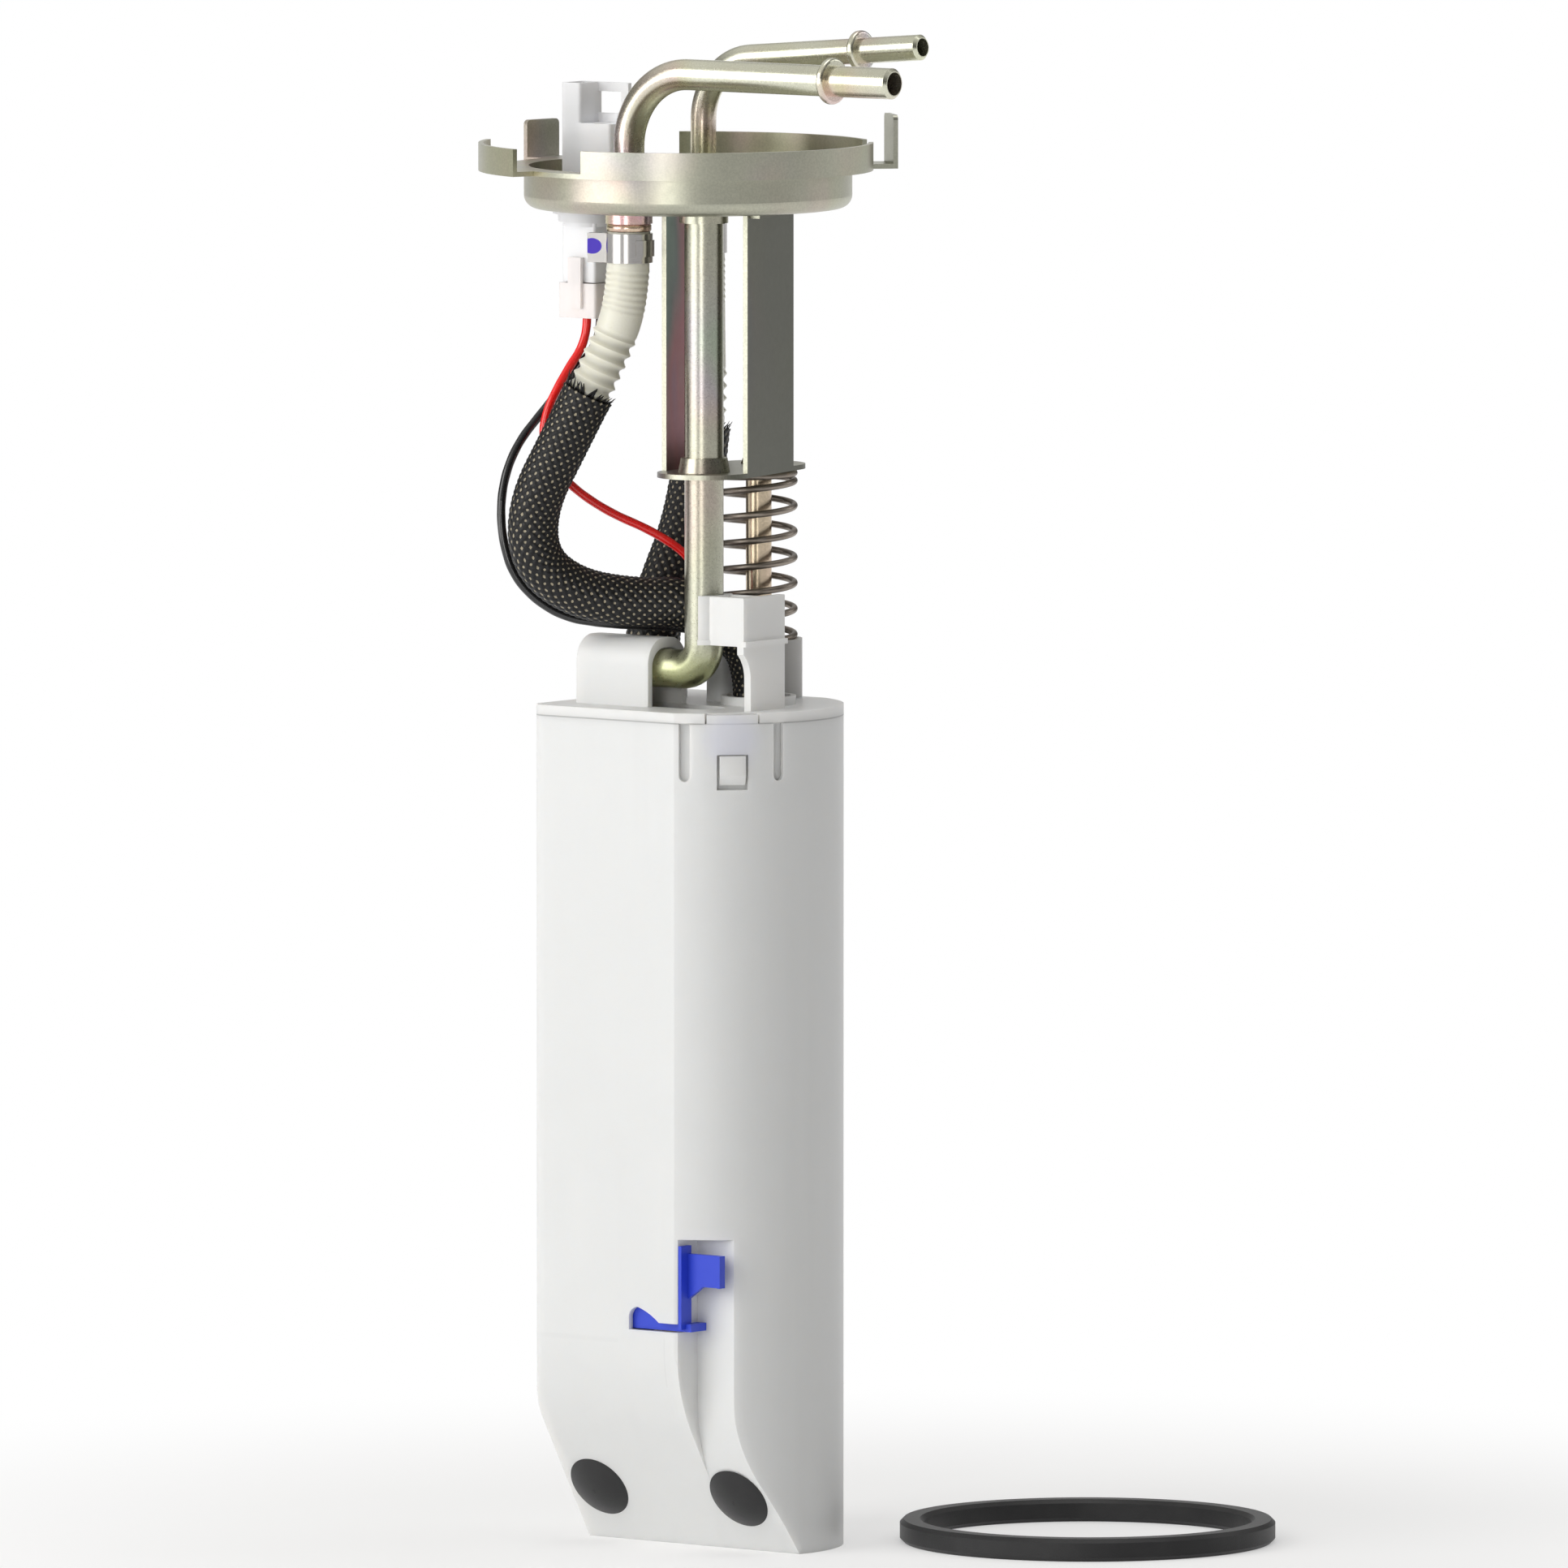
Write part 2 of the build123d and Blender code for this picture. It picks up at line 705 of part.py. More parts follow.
def make_lid():
    """The lid with its skirt, snap hook, hood, guide clip, spring cup, hose collars and lead post."""
    plate = Pos(0, 0, lid_low_z + 0.02) * extrude(d_section(), lid_thickness - 0.02)
    skirt_face = d_section(wall + gap) - d_section(wall + gap + skirt_wall)
    solid = plate + Pos(0, 0, lid_low_z - skirt_depth) * extrude(skirt_face, skirt_depth + 1)
    reach = arc_radius - wall - gap
    tongue = arc_sector(reach - skirt_wall, reach, window_low_z + 1, lid_low_z, snap_centre,
                        window_half_angle - 1)
    hook = arc_sector(reach - skirt_wall, reach + wall + lid_hook_out - 0.5, window_low_z + 1.5,
                      window_low_z + window_height - gap, snap_centre, window_half_angle - 1.2)
    hook_cut = Pos(*on_arc(snap_centre, reach + wall + lid_hook_out, window_low_z + 1.5)) * (
        Rot(0, 0, snap_centre) * Rot(24, 0, 0) * Box(30, 3.4, 40))
    solid = solid + tongue + (hook - hook_cut)
    notch = arc_sector(arc_radius - wall - gap, arc_radius + 5, lid_low_z - 1, lid_top_z + 1,
                       snap_centre, snap_rise_half_angle + 0.8)
    solid = solid - notch
    hood, room = make_hood()
    solid = solid + hood + make_clip()
    solid = solid + ring(rod_at, cup_inner_radius, cup_inner_radius + cup_wall, lid_top_z - 1, cup_top_z)
    for at in (feed_fitting_at, return_fitting_at):
        solid = solid + ring(at, hose_collar_radius - hose_collar_wall, hose_collar_radius, lid_top_z - 1,
                             lid_top_z + hose_collar_height)
        solid = solid - post(at, hose_collar_radius - hose_collar_wall, lid_top_z, lid_top_z + 30)
    solid = solid + post(wire_post_at, wire_post_radius, lid_low_z, wire_post_top_z)
    solid = solid - post(rod_at, cup_inner_radius, lid_top_z, cup_top_z + 1)
    solid = solid - post(wire_post_at, wire_post_hole, lid_low_z - 20, wire_post_top_z + 1)
    for at in (feed_fitting_at, return_fitting_at):
        solid = solid - post(at, fitting_radius + running_gap, lid_low_z - 20, lid_top_z + 1)
    solid = solid - post(rod_at, rod_radius + running_gap, lid_low_z - 20, lid_top_z + 1)
    travel = tube_radius + gap
    slot = block((tube_leg_end_x - 1.0, tube_at[1] - travel, lid_low_z - 20),
                 (tube_at[0], tube_at[1] + travel, lid_top_z + 0.1))
    slot = slot + post(tube_at, travel, lid_low_z - 20, lid_top_z + 0.1)
    solid = solid - slot - (room & block((-100, -100, 0), (100, 100, lid_low_z + 0.1)))
    rod_boss = ring(rod_at, rod_radius + running_gap, rod_radius + 2.5, lid_low_z - 10, lid_low_z + 0.5)
    return solid + rod_boss


def make_guide_tube():
    """The steel tube whose bent lower end sits under the hood."""
    x, y = tube_at
    route = [(x, y, pan_floor_z), (x, y, tube_leg_z), (tube_leg_end_x, y, tube_leg_z)]
    inner = tube_radius - tube_wall
    solid = bent_tube("guide_tube", route, [tube_bend_radius], tube_radius, inner)
    collar = tube_radius + tube_collar_proud
    solid = solid + ring(tube_at, inner, collar, pan_floor_z - tube_collar_height, pan_floor_z - seat_gap)
    floor_top = bracket_floor_z + bracket_sheet
    foot_radius = tube_radius + tube_foot_proud
    foot = [(inner, floor_top + seat_gap), (foot_radius, floor_top + seat_gap),
            (foot_radius - 0.8, floor_top + tube_foot_height), (inner, floor_top + tube_foot_height)]
    return solid + turned(tube_at, foot)


def make_guide_rod():
    """The rod that the spring stands round, beaded on the bracket's floor."""
    floor_top = bracket_floor_z + bracket_sheet
    solid = post(rod_at, rod_radius, rod_low_z, floor_top + 5)
    solid = chamfer(solid.edges().group_by(Axis.Z)[0], rod_tip)
    bead_radius = rod_radius + rod_bead_proud
    bead = [(0, floor_top + seat_gap), (bead_radius, floor_top + seat_gap),
            (bead_radius - 1.2, floor_top + rod_bead_height), (0, floor_top + rod_bead_height)]
    return solid + turned(rod_at, bead)


def make_bracket():
    """The U-shaped channel under the flange that carries the guide tube and rod."""
    span = guide_line.length
    place = Pos(tube_at[0], tube_at[1], 0) * Rot(0, 0, guide_angle)
    low, high = bracket_floor_z, bracket_top_z
    outline = Pos(span / 2, 0) * SlotOverall(span + 2 * bracket_half_width, 2 * bracket_half_width)
    solid = Pos(0, 0, low) * extrude(outline, bracket_sheet)
    for side in (-1, 1):
        outer = side * bracket_half_width
        inner = side * (bracket_half_width - bracket_sheet)
        foot = side * (bracket_half_width + bracket_foot)
        start, end = bracket_back_off, bracket_back_off + bracket_depth
        solid = solid + block((start, min(outer, inner), low), (end, max(outer, inner), high))
        solid = solid + block((start + 2, min(inner, foot), high - bracket_sheet),
                              (end - 2, max(inner, foot), high))
    solid = place * solid
    solid = solid - post(tube_at, tube_radius + seat_gap, low - 1, low + bracket_sheet + 1)
    return solid - post(rod_at, rod_radius + seat_gap, low - 1, low + bracket_sheet + 1)


def make_spring():
    """The coil spring that pushes the flange up off the reservoir."""
    low = lid_top_z + gap + spring_wire / 2
    high = bracket_floor_z - gap - spring_wire / 2
    coil = Helix(pitch=(high - low) / spring_turns, height=high - low, radius=spring_radius)
    section = Plane(origin=coil @ 0, z_dir=coil % 0) * Circle(spring_wire / 2)
    return Pos(rod_at[0], rod_at[1], low) * sweep(section, path=coil, is_frenet=True)


def make_pan():
    """The drawn steel flange with its rim walls, ear and two tall tabs."""
    low = pan_floor_z
    rim_low = low + pan_depth
    sheet = pan_sheet
    outline = make_face(Polyline(
        (0, low), (pan_radius, low), (pan_radius, rim_low), (rim_radius, rim_low),
        (rim_radius, rim_low + sheet), (pan_radius - sheet, rim_low + sheet),
        (pan_radius - sheet, low + sheet), (0, low + sheet), close=True))
    outer = outline.vertices().sort_by_distance((pan_radius, low))[0]
    outline = fillet(outer, pan_corner_radius)
    inner = outline.vertices().sort_by_distance((pan_radius - sheet, low + sheet))[0]
    outline = fillet(inner, pan_corner_radius - sheet)
    solid = revolve(Plane.XZ * outline, Axis.Z)
    wall_top = rim_low + rim_wall_height
    for start, end in (near_rim_angles, far_rim_angles):
        solid = solid + ring_sector(rim_radius - sheet, rim_radius, rim_low, wall_top, start, end)
    solid = solid + ring_sector(rim_radius - 3, ear_radius, rim_low, rim_low + sheet, *ear_angles)
    solid = solid + ring_sector(ear_radius - sheet, ear_radius, rim_low, wall_top, *ear_angles)
    for angle, height in ((left_tab_angle, left_tab_height), (right_tab_angle, right_tab_height)):
        foot = block((rim_radius - 3, -tab_width / 2, rim_low),
                     (ear_radius, tab_width / 2, rim_low + sheet))
        tab = block((ear_radius - sheet, -tab_width / 2, rim_low),
                    (ear_radius, tab_width / 2, rim_low + height))
        tab = fillet(tab.edges().filter_by(Axis.X).group_by(Axis.Z)[-1], tab_corner)
        solid = solid + Rot(0, 0, angle) * (foot + tab)
    for at, radius in ((feed_at, feed_radius), (return_at, return_radius), (plug_at, pan_hole_radius)):
        solid = solid - post(at, radius + seat_gap, low - 5, low + 10)
    return solid


def make_pipe(name, at, radius, run_rise, slant, bend_radius, end_x):
    """A pipe that rises through the flange, bends and runs out over its edge to a beaded open end."""
    climb = math.tan(math.radians(slant))
    x, y = at
    run_z = pan_floor_z + run_rise
    end = (end_x, y, run_z + (end_x - x) * climb)
    route = [(x, y, nipple_low_z), (x, y, run_z), end]
    bore = radius - pipe_wall
    solid = bent_tube(name, route, [bend_radius], radius, bore)
    along = Vector(*end) - Vector(x, y, run_z)
    tip = Plane(origin=end, z_dir=along)
    roll = Cylinder(radius + bead_proud, bead_width) - Cylinder(bore, 2 * bead_width)
    bead = tip * Pos(0, 0, -bead_from_end) * roll
    bead = fillet(bead.edges().filter_by(GeomType.CIRCLE).sort_by(SortBy.RADIUS)[-2:], bead_round)
    solid = solid + bead
    rim = solid.faces().sort_by_distance(end)[0].edges().sort_by(SortBy.RADIUS)[-1]
    solid = chamfer(rim, pipe_tip_chamfer)
    ring_low = pan_floor_z - nipple_ring_height
    return solid + ring(at, bore, nipple_ring_radius, ring_low, pan_floor_z - seat_gap)


def make_clamp(at, ear_angle):
    """A band clamp round a hose, with its pinched ear and the tongue of its overlap."""
    inner = hose_radius + 0.1
    outer = inner + clamp_sheet
    high = clamp_low_z + clamp_width
    band = ring((0, 0), inner, outer, clamp_low_z, high)
    ear_end = outer + clamp_ear_length
    ear_face = make_face(Polyline(
        (outer - 0.4, -2.2), (ear_end, -1.4), (ear_end, 1.4), (outer - 0.4, 2.2), close=True))
    hollow_end = ear_end - clamp_sheet
    hollow = make_face(Polyline(
        (outer - 0.5, -1.5), (hollow_end, -0.8), (hollow_end, 0.8), (outer - 0.5, 1.5), close=True))
    ear = extrude(ear_face, clamp_width) - extrude(hollow, clamp_width)
    ear = Pos(0, 0, clamp_low_z) * ear
    tongue = ring_sector(outer - 0.1, outer + clamp_sheet, clamp_low_z + 2, high - 2, 120, 185)
    return Pos(at[0], at[1], 0) * Rot(0, 0, ear_angle) * (band + ear + tongue)


def make_connector():
    """The electrical bulkhead: a base with the socket's tower and latch loop on it, and a lower shell."""
    x, y = plug_at
    front, back = y - base_half_y, y + base_half_y
    base = block((base_left_x, front, shroud_low_z), (base_right_x, back, loop_low_z))
    base = fillet(base.edges().filter_by(Axis.Z), shell_corner)
    tower = block((base_left_x, front, loop_low_z - 1), (tower_right_x, back, shroud_top_z))
    tower = fillet(tower.edges().filter_by(Axis.Z), shell_corner)
    room = block((base_left_x + shroud_wall, front + shroud_wall, shroud_floor_z),
                 (tower_right_x - shroud_wall, back - shroud_wall, shroud_top_z + 1))
    loop_front = back - loop_thickness
    loop = block((tower_right_x - 1, loop_front, loop_low_z - 1), (base_right_x, back, shroud_top_z))
    window = block((tower_right_x, loop_front - 1, loop_low_z + loop_frame),
                   (base_right_x - loop_frame, back + 1, shroud_top_z - loop_frame))
    neck = post(plug_at, pan_hole_radius - gap, shell_top - 1, shroud_low_z + 1)
    half_lx, half_ly = lower_shell_x / 2, lower_shell_y / 2
    lower = block((x - half_lx, y - half_ly, lower_shell_low_z), (x + half_lx, y + half_ly, shell_top))
    lower = fillet(lower.edges().filter_by(Axis.Z), shell_corner)
    solid = base + tower + (loop - window) + neck + lower - room
    for side in (-1, 1):
        solid = solid - terminal_slot(side, seat_gap)
    return solid


def terminal_slot(side, grow):
    """The space of one blade terminal through the connector."""
    x = blade_at[0]
    y = blade_at[1] + side * blade_spacing / 2
    half_w, half_t = blade_width / 2 + grow, blade_thickness / 2 + grow
    return block((x - half_t, y - half_w, lower_shell_low_z - grow),
                 (x + half_t, y + half_w, shroud_top_z - blade_below_rim))


def make_terminals():
    """The two blades that carry the pump's current through the flange."""
    return Compound(children=[terminal_slot(side, 0.0) for side in (-1, 1)])


def make_grommet():
    """The stepped seal under the flange round the connector's neck."""
    high = pan_floor_z - seat_gap
    low = pan_floor_z - grommet_height
    bore = pan_hole_radius - gap + seat_gap
    step = grommet_radius - grommet_step
    middle = low + grommet_height / 2
    return turned(plug_at, [
        (bore, low), (step, low), (step, middle), (grommet_radius, middle), (grommet_radius, high),
        (bore, high)])


def make_harness_plug():
    """The plug that the two leads leave from, latched under the connector's lower shell."""
    x, y = plug_at
    half_x = lower_shell_x / 2 + harness_plug_grow
    half_y = lower_shell_y / 2 + harness_plug_grow
    top = lower_shell_low_z - gap
    solid = block((x - half_x, y - half_y, harness_plug_low_z), (x + half_x, y + half_y, top))
    solid = fillet(solid.edges().filter_by(Axis.Z), 1.0)
    latch = block((x - 2.5, y - half_y - 1.2, harness_plug_low_z + 3), (x + 2.5, y - half_y + 0.2, top + 8))
    catch = block((x - 2.5, y - half_y, top + 6), (x + 2.5, y - lower_shell_y / 2 - 0.02, top + 8))
    return solid + latch + catch


def make_latch():
    """The sliding lock with its bar, finger tab, foot and the hook that shows through the slit."""
    left = pocket_left_x + gap
    right = left + latch_bar_width
    hook_y = -half_depth + wall + gap
    bar_back_y = -half_depth + gap + latch_bar_depth
    arm_y = bar_back_y - latch_arm_thickness
    foot_back_y = pocket_face_y - gap
    hook_low = slit_low_z + gap
    hook_high = slit_low_z + slit_arch_height + 1.0
    low = latch_arm_low_z
    bar = block((left, -half_depth + gap, latch_bar_low_z), (right, bar_back_y, latch_bar_top_z))
    arm = block((left, arm_y, low), (latch_arm_end_x, bar_back_y, latch_arm_high_z))
    rim = block((latch_arm_end_x - 1.2, arm_y - 0.9, low), (latch_arm_end_x, bar_back_y, latch_arm_high_z))
    corner = Polyline((right - 0.5, low - 4), (right, low - 4), (right + latch_gusset, low),
                      (right + latch_gusset, low + 0.5), (right - 0.5, low + 0.5), close=True)
    gusset = from_front(make_face(corner), arm_y, latch_arm_thickness)
    hook = block((latch_hook_left_x, hook_y, hook_low), (right, hook_y + latch_hook_thickness, hook_high))
    hook = fillet(hook.edges().filter_by(Axis.Y).group_by(Axis.X)[0].sort_by(Axis.Z)[-1], 3.0)
    foot = block((left, hook_y, hook_low), (left + latch_foot_width, foot_back_y, slit_low_z + slit_height))
    return bar + arm + rim + gusset + hook + foot


def vane_slots(low_z, high_z):
    """The slots round the edge of the impeller."""
    cuts = []
    for index in range(impeller_vanes):
        cut = block((impeller_radius - vane_depth, -vane_width / 2, low_z - 1),
                    (impeller_radius + 1, vane_width / 2, high_z + 1))
        cuts.append(Pos(*pump_at) * Rot(0, 0, 360 / impeller_vanes * index) * cut)
    return cuts


def make_impeller():
    """The plastic wheel whose edge slots push the fuel round the chamber."""
    low, high = impeller_low_z, impeller_low_z + impeller_thickness
    solid = post(pump_at, impeller_radius, low, high)
    for cut in vane_slots(low, high):
        solid = solid - cut
    return solid - post(pump_at, shaft_radius, low - 1, high + 1)


def make_shaft():
    """The steel shaft from the impeller to the cap's bearing."""
    return post(pump_at, shaft_radius, impeller_low_z, cap_low_z + cap_bearing_length - 1.0)


def make_core():
    """The slotted steel core of the armature."""
    solid = ring(pump_at, shaft_radius, core_radius, core_low_z, core_high_z)
    for index in range(core_slots):
        cut = block((core_radius - core_slot_depth, -core_slot_width / 2, core_low_z - 1),
                    (core_radius + 1, core_slot_width / 2, core_high_z + 1))
        solid = solid - Pos(*pump_at) * Rot(0, 0, 360 / core_slots * index) * cut
    return solid


def make_windings():
    """The copper coil heads above and below the core, joined through its slots."""
    outer = core_radius - 0.8
    solid = ring(pump_at, shaft_radius + 1.0, outer, core_low_z - coil_height, core_low_z)
    solid = solid + ring(pump_at, shaft_radius + 1.0, outer, core_high_z, core_high_z + coil_height)
    inner_x = core_radius - core_slot_depth + 0.02
    half = core_slot_width / 2 - 0.02
    for index in range(core_slots):
        bar = block((inner_x, -half, core_low_z - 1), (outer - 0.5, half, core_high_z + 1))
        solid = solid + Pos(*pump_at) * Rot(0, 0, 360 / core_slots * index) * bar
    return solid


def make_commutator():
    """The ring of copper bars that the brushes press on."""
    low, high = commutator_low_z, commutator_low_z + commutator_height
    solid = ring(pump_at, shaft_radius, commutator_radius, low, high)
    for index in range(commutator_bars):
        cut = block((commutator_radius - 2.0, -commutator_slit / 2, low - 1),
                    (commutator_radius + 1, commutator_slit / 2, high + 1))
        solid = solid - Pos(*pump_at) * Rot(0, 0, 360 / commutator_bars * index) * cut
    return solid


def make_magnets():
    """The two curved magnets inside the steel can."""
    low = (core_low_z + core_high_z - magnet_length) / 2
    made = []
    for middle in (90, 270):
        start, end = middle - magnet_half_angle, middle + magnet_half_angle
        made.append(Pos(*pump_at) * ring_sector(magnet_inner, magnet_outer, low, low + magnet_length,
                                                start, end))
    return Compound(children=made)


def make_pump_shell():
    """The steel can, rolled in at both ends."""
    low, high = pump_low_z - pump_can, pump_top_z
    lip = pump_radius - pump_lip
    return turned(pump_at, [
        (lip, low), (pump_radius, low), (pump_radius, high), (lip, high), (lip, high - pump_can),
        (shell_inner, high - pump_can), (shell_inner, low + pump_can), (lip, low + pump_can)])


def make_inlet_cover():
    """The lower half of the pump's chamber, with the inlet stub."""
    outer = shell_inner - seat_gap
    solid = post(pump_at, outer, pump_low_z + seat_gap, pump_low_z + inlet_cover_thickness)
    solid = solid + post(inlet_at, inlet_radius, pump_low_z - inlet_length, pump_low_z + 1)
    solid = solid - post(inlet_at, inlet_bore, pump_low_z - inlet_length - 1,
                         pump_low_z + inlet_cover_thickness + 1)
    return solid


def make_outlet_plate():
    """The upper half of the pump's chamber, with its bearing and outlet hole."""
    outer = shell_inner - seat_gap
    low = pump_low_z + inlet_cover_thickness + seat_gap
    high = outlet_plate_low_z + outlet_plate_thickness
    solid = post(pump_at, outer, low, high)
    solid = solid - post(pump_at, impeller_radius + chamber_gap, low - 1, outlet_plate_low_z)
    solid = solid - post((pump_at[0], pump_at[1] + inlet_offset), outlet_hole_radius, low - 1, high + 1)
    return solid - post(pump_at, shaft_radius + running_gap, low - 1, high + 1)


def make_end_cap():
    """The plastic cap with the brush wells, the top bearing and the outlet pipe."""
    outer = shell_inner - seat_gap
    under_lip = pump_top_z - pump_can - seat_gap
    solid = post(pump_at, outer, cap_low_z, under_lip)
    solid = solid + post(pump_at, cap_dome_radius, under_lip - 1, cap_top_z)
    solid = solid + post(outlet_at, outlet_radius, cap_top_z - 1, cap_top_z + outlet_length)
    solid = solid - post(pump_at, commutator_radius + 0.6, cap_low_z - 1, brush_low_z + 0.4)
    solid = solid - post(pump_at, shaft_radius + running_gap, cap_low_z - 1, cap_low_z + cap_bearing_length)
    for side in (-1, 1):
        solid = solid - brush_space(side, running_gap, brush_low_z - 1,
                                    brush_low_z + brush_height + brush_spring_height)
    bore_low = outlet_seat_z
    solid = solid - post(outlet_at, outlet_bore, bore_low, cap_top_z + outlet_length + 1)
    half = passage_width / 2
    passage_x = pump_at[0] + passage_offset
    passage = block((passage_x - passage_width, pump_at[1] - half, cap_low_z - 1),
                    (passage_x, pump_at[1] + half, bore_low - passage_width))
    link = block((outlet_at[0] - half, pump_at[1] - half, bore_low - 2 * passage_width),
                 (passage_x, pump_at[1] + half, bore_low - passage_width))
    rise = post(outlet_at, half, bore_low - 2 * passage_width, bore_low + 1)
    return solid - passage - link - rise


def brush_space(side, grow, low_z, high_z):
    """The upright space of one carbon brush."""
    x, y = pump_at[0], pump_at[1] + side * brush_offset
    half = brush_size / 2 + grow
    return block((x - half, y - half, low_z), (x + half, y + half, high_z))


def make_brushes():
    """The two carbon brushes on top of the commutator."""
    high = brush_low_z + brush_height
    return Compound(children=[brush_space(side, 0.0, brush_low_z, high) for side in (-1, 1)])


def small_coil(at, radius, wire, low_z, high_z, turns):
    """A small compression spring."""
    low, high = low_z + wire / 2, high_z - wire / 2
    coil = Helix(pitch=(high - low) / turns, height=high - low, radius=radius)
    section = Plane(origin=coil @ 0, z_dir=coil % 0) * Circle(wire / 2)
    return Pos(at[0], at[1], low) * sweep(section, path=coil, is_frenet=True)


def make_brush_springs():
    """The two springs that press the brushes down."""
    low = brush_low_z + brush_height + 0.05
    high = brush_low_z + brush_height + brush_spring_height - 0.05
    places = [(pump_at[0], pump_at[1] + side * brush_offset) for side in (-1, 1)]
    return Compound(children=[small_coil(at, 1.3, 0.5, low, high, 5) for at in places])


def make_check_poppet():
    """The valve that keeps the line full when the pump stops."""
    seat = outlet_seat_z + 0.05
    stem = 0.4 * check_radius
    return turned(outlet_at, [
        (0, seat), (check_radius, seat), (check_radius, seat + 2.0), (stem, seat + 3.0),
        (stem, seat + check_height), (0, seat + check_height)])


def make_check_spring():
    """The light spring over the valve."""
    low = outlet_seat_z + 3.1
    return small_coil(outlet_at, 0.75 * check_radius, 0.4, low, low + check_spring_height, 6)


def make_check_stop():
    """The spider in the outlet pipe that the valve's spring pushes against."""
    low = outlet_seat_z + 3.1 + check_spring_height + 0.05
    high = low + check_stop_height
    solid = ring(outlet_at, 1.6, outlet_bore - seat_gap / 2, low, high)
    for index in range(3):
        cut = Pos(*outlet_at) * Rot(0, 0, 120 * index) * block((2.2, -0.6, low - 1), (6, 0.6, high + 1))
        solid = solid - cut
    return solid


def make_holder():
    """The plate across the reservoir that holds the pump's top upright."""
    inset = wall + gap
    solid = Pos(0, 0, holder_z) * extrude(d_section(inset), holder_thickness)
    solid = solid - post(pump_at, pump_radius + isolator_wall + seat_gap, holder_z - 1, holder_z + 10)
    solid = solid - post((drop_pipe_route[2][0], drop_pipe_route[2][1]),
                         drop_radius + 1.0, holder_z - 1, holder_z + 10)
    for x, y in ((37, 16), (37, -16)):
        solid = solid - post((x, y), 7, holder_z - 1, holder_z + 10)
    return solid


def make_upper_isolator():
    """The rubber ring between the pump and its holder."""
    low = holder_z - 2.0
    outer = pump_radius + isolator_wall
    lip = outer + isolator_lip
    top = holder_z + holder_thickness
    inner = pump_radius + seat_gap
    return turned(pump_at, [
        (inner, low), (outer, low), (outer, top + seat_gap), (lip, top + seat_gap), (lip, top + isolator_lip),
        (inner, top + isolator_lip)])


def make_pump_foot():
    """The stand under the pump: a cup round the lower isolator on four legs."""
    seat_z = isolator_low_z
    ring_low = seat_z - foot_ring_height
    solid = ring(pump_at, foot_inner, foot_outer, ring_low, seat_z)
    solid = solid + ring(pump_at, pump_radius + isolator_wall + 0.05, foot_outer, seat_z - 1,
                         seat_z + isolator_height - 2.0)
    for angle in foot_leg_angles:
        leg = block((foot_inner + 0.2, -foot_leg_width / 2, wall),
                    (foot_outer, foot_leg_width / 2, ring_low + 1))
        solid = solid + Pos(*pump_at) * Rot(0, 0, angle) * leg
    return solid & shell_block(wall + seat_gap)


def make_lower_isolator():
    """The rubber cup that the pump stands in."""
    low = isolator_low_z + seat_gap
    floor_top = pump_low_z - pump_can - seat_gap
    lip = pump_radius - pump_lip - 1.0
    outer = pump_radius + isolator_wall
    wall_top = isolator_low_z + isolator_height
    return turned(pump_at, [
        (lip, low), (outer, low), (outer, wall_top), (pump_radius + seat_gap, wall_top),
        (pump_radius + seat_gap, floor_top), (lip, floor_top)])


def make_strainer():
    """The flat filter bag under the pump with its rigid neck on the inlet stub."""
    x, y = strainer_at
    length, width, height = strainer_size
    bag = block((x - length / 2, y - width / 2, strainer_low_z),
                (x + length / 2, y + width / 2, strainer_low_z + height))
    bag = fillet(bag.edges().filter_by(Axis.Z), strainer_corner)
    ends = bag.edges().group_by(Axis.Z)[-1] + bag.edges().group_by(Axis.Z)[0]
    return fillet(ends, strainer_edge)


def make_strainer_neck():
    """The rigid neck between the filter bag and the pump's inlet stub."""
    low = strainer_low_z + strainer_size[2] + seat_gap
    high = pump_low_z - inlet_length + neck_overlap
    solid = post(inlet_at, inlet_radius + neck_wall, low, high)
    solid = solid - post(inlet_at, inlet_radius + seat_gap, pump_low_z - inlet_length - seat_gap, high + 1)
    return solid - post(inlet_at, inlet_bore, low - 1, high)


def make_inlet_valve():
    """The rubber umbrella that lets tank fuel in through the floor."""
    seat = wall + valve_raise + seat_gap
    radius = valve_hole_ring + valve_hole_radius + 0.6
    return turned(valve_at, [
        (0, 0.6), (valve_stem_radius + 0.9, 0.6), (valve_stem_radius, 1.9), (valve_stem_radius, seat),
        (radius, seat), (radius, seat + 0.5), (valve_stem_radius, seat + 1.6), (0, seat + 1.6)])


def make_drop_pipe():
    """The pipe that takes returned fuel down to the jet."""
    radii = corner_radii(drop_pipe_route)
    return bent_tube("drop_pipe", drop_pipe_route, radii, drop_radius, drop_radius - drop_wall)


def make_jet():
    """The jet at the drop pipe's foot that draws tank fuel in."""
    x, y = drop_pipe_route[-1][0], drop_pipe_route[-1][1]
    top = drop_pipe_route[-1][2] - seat_gap
    solid = post((x, y), jet_radius, wall + seat_gap, top)
    solid = solid - post((x, y), drop_radius - drop_wall, jet_nose_z - jet_nose_radius, top + 1)
    inner_y = y + jet_radius - 1.0
    nozzle = Circle(jet_nose_radius) - Circle(jet_bore)
    return solid + Pos(x, inner_y, jet_nose_z) * Rot(-90, 0, 0) * extrude(nozzle, jet_nose_length)


def make_fitting(at):
    """A pipe stub through the lid, barbed above and below."""
    low, high = fitting_low_z, fitting_top_z
    r = fitting_radius
    seat = lid_top_z + seat_gap
    flange = r + fitting_flange
    flange_top = lid_top_z + fitting_flange_height
    return turned(at, [
        (fitting_bore, low), (r - 0.6, low), (r, low + 2.5), (r, seat), (flange, seat), (flange, flange_top),
        (r, flange_top), (r, high - 2.5), (r - 0.6, high), (fitting_bore, high)])


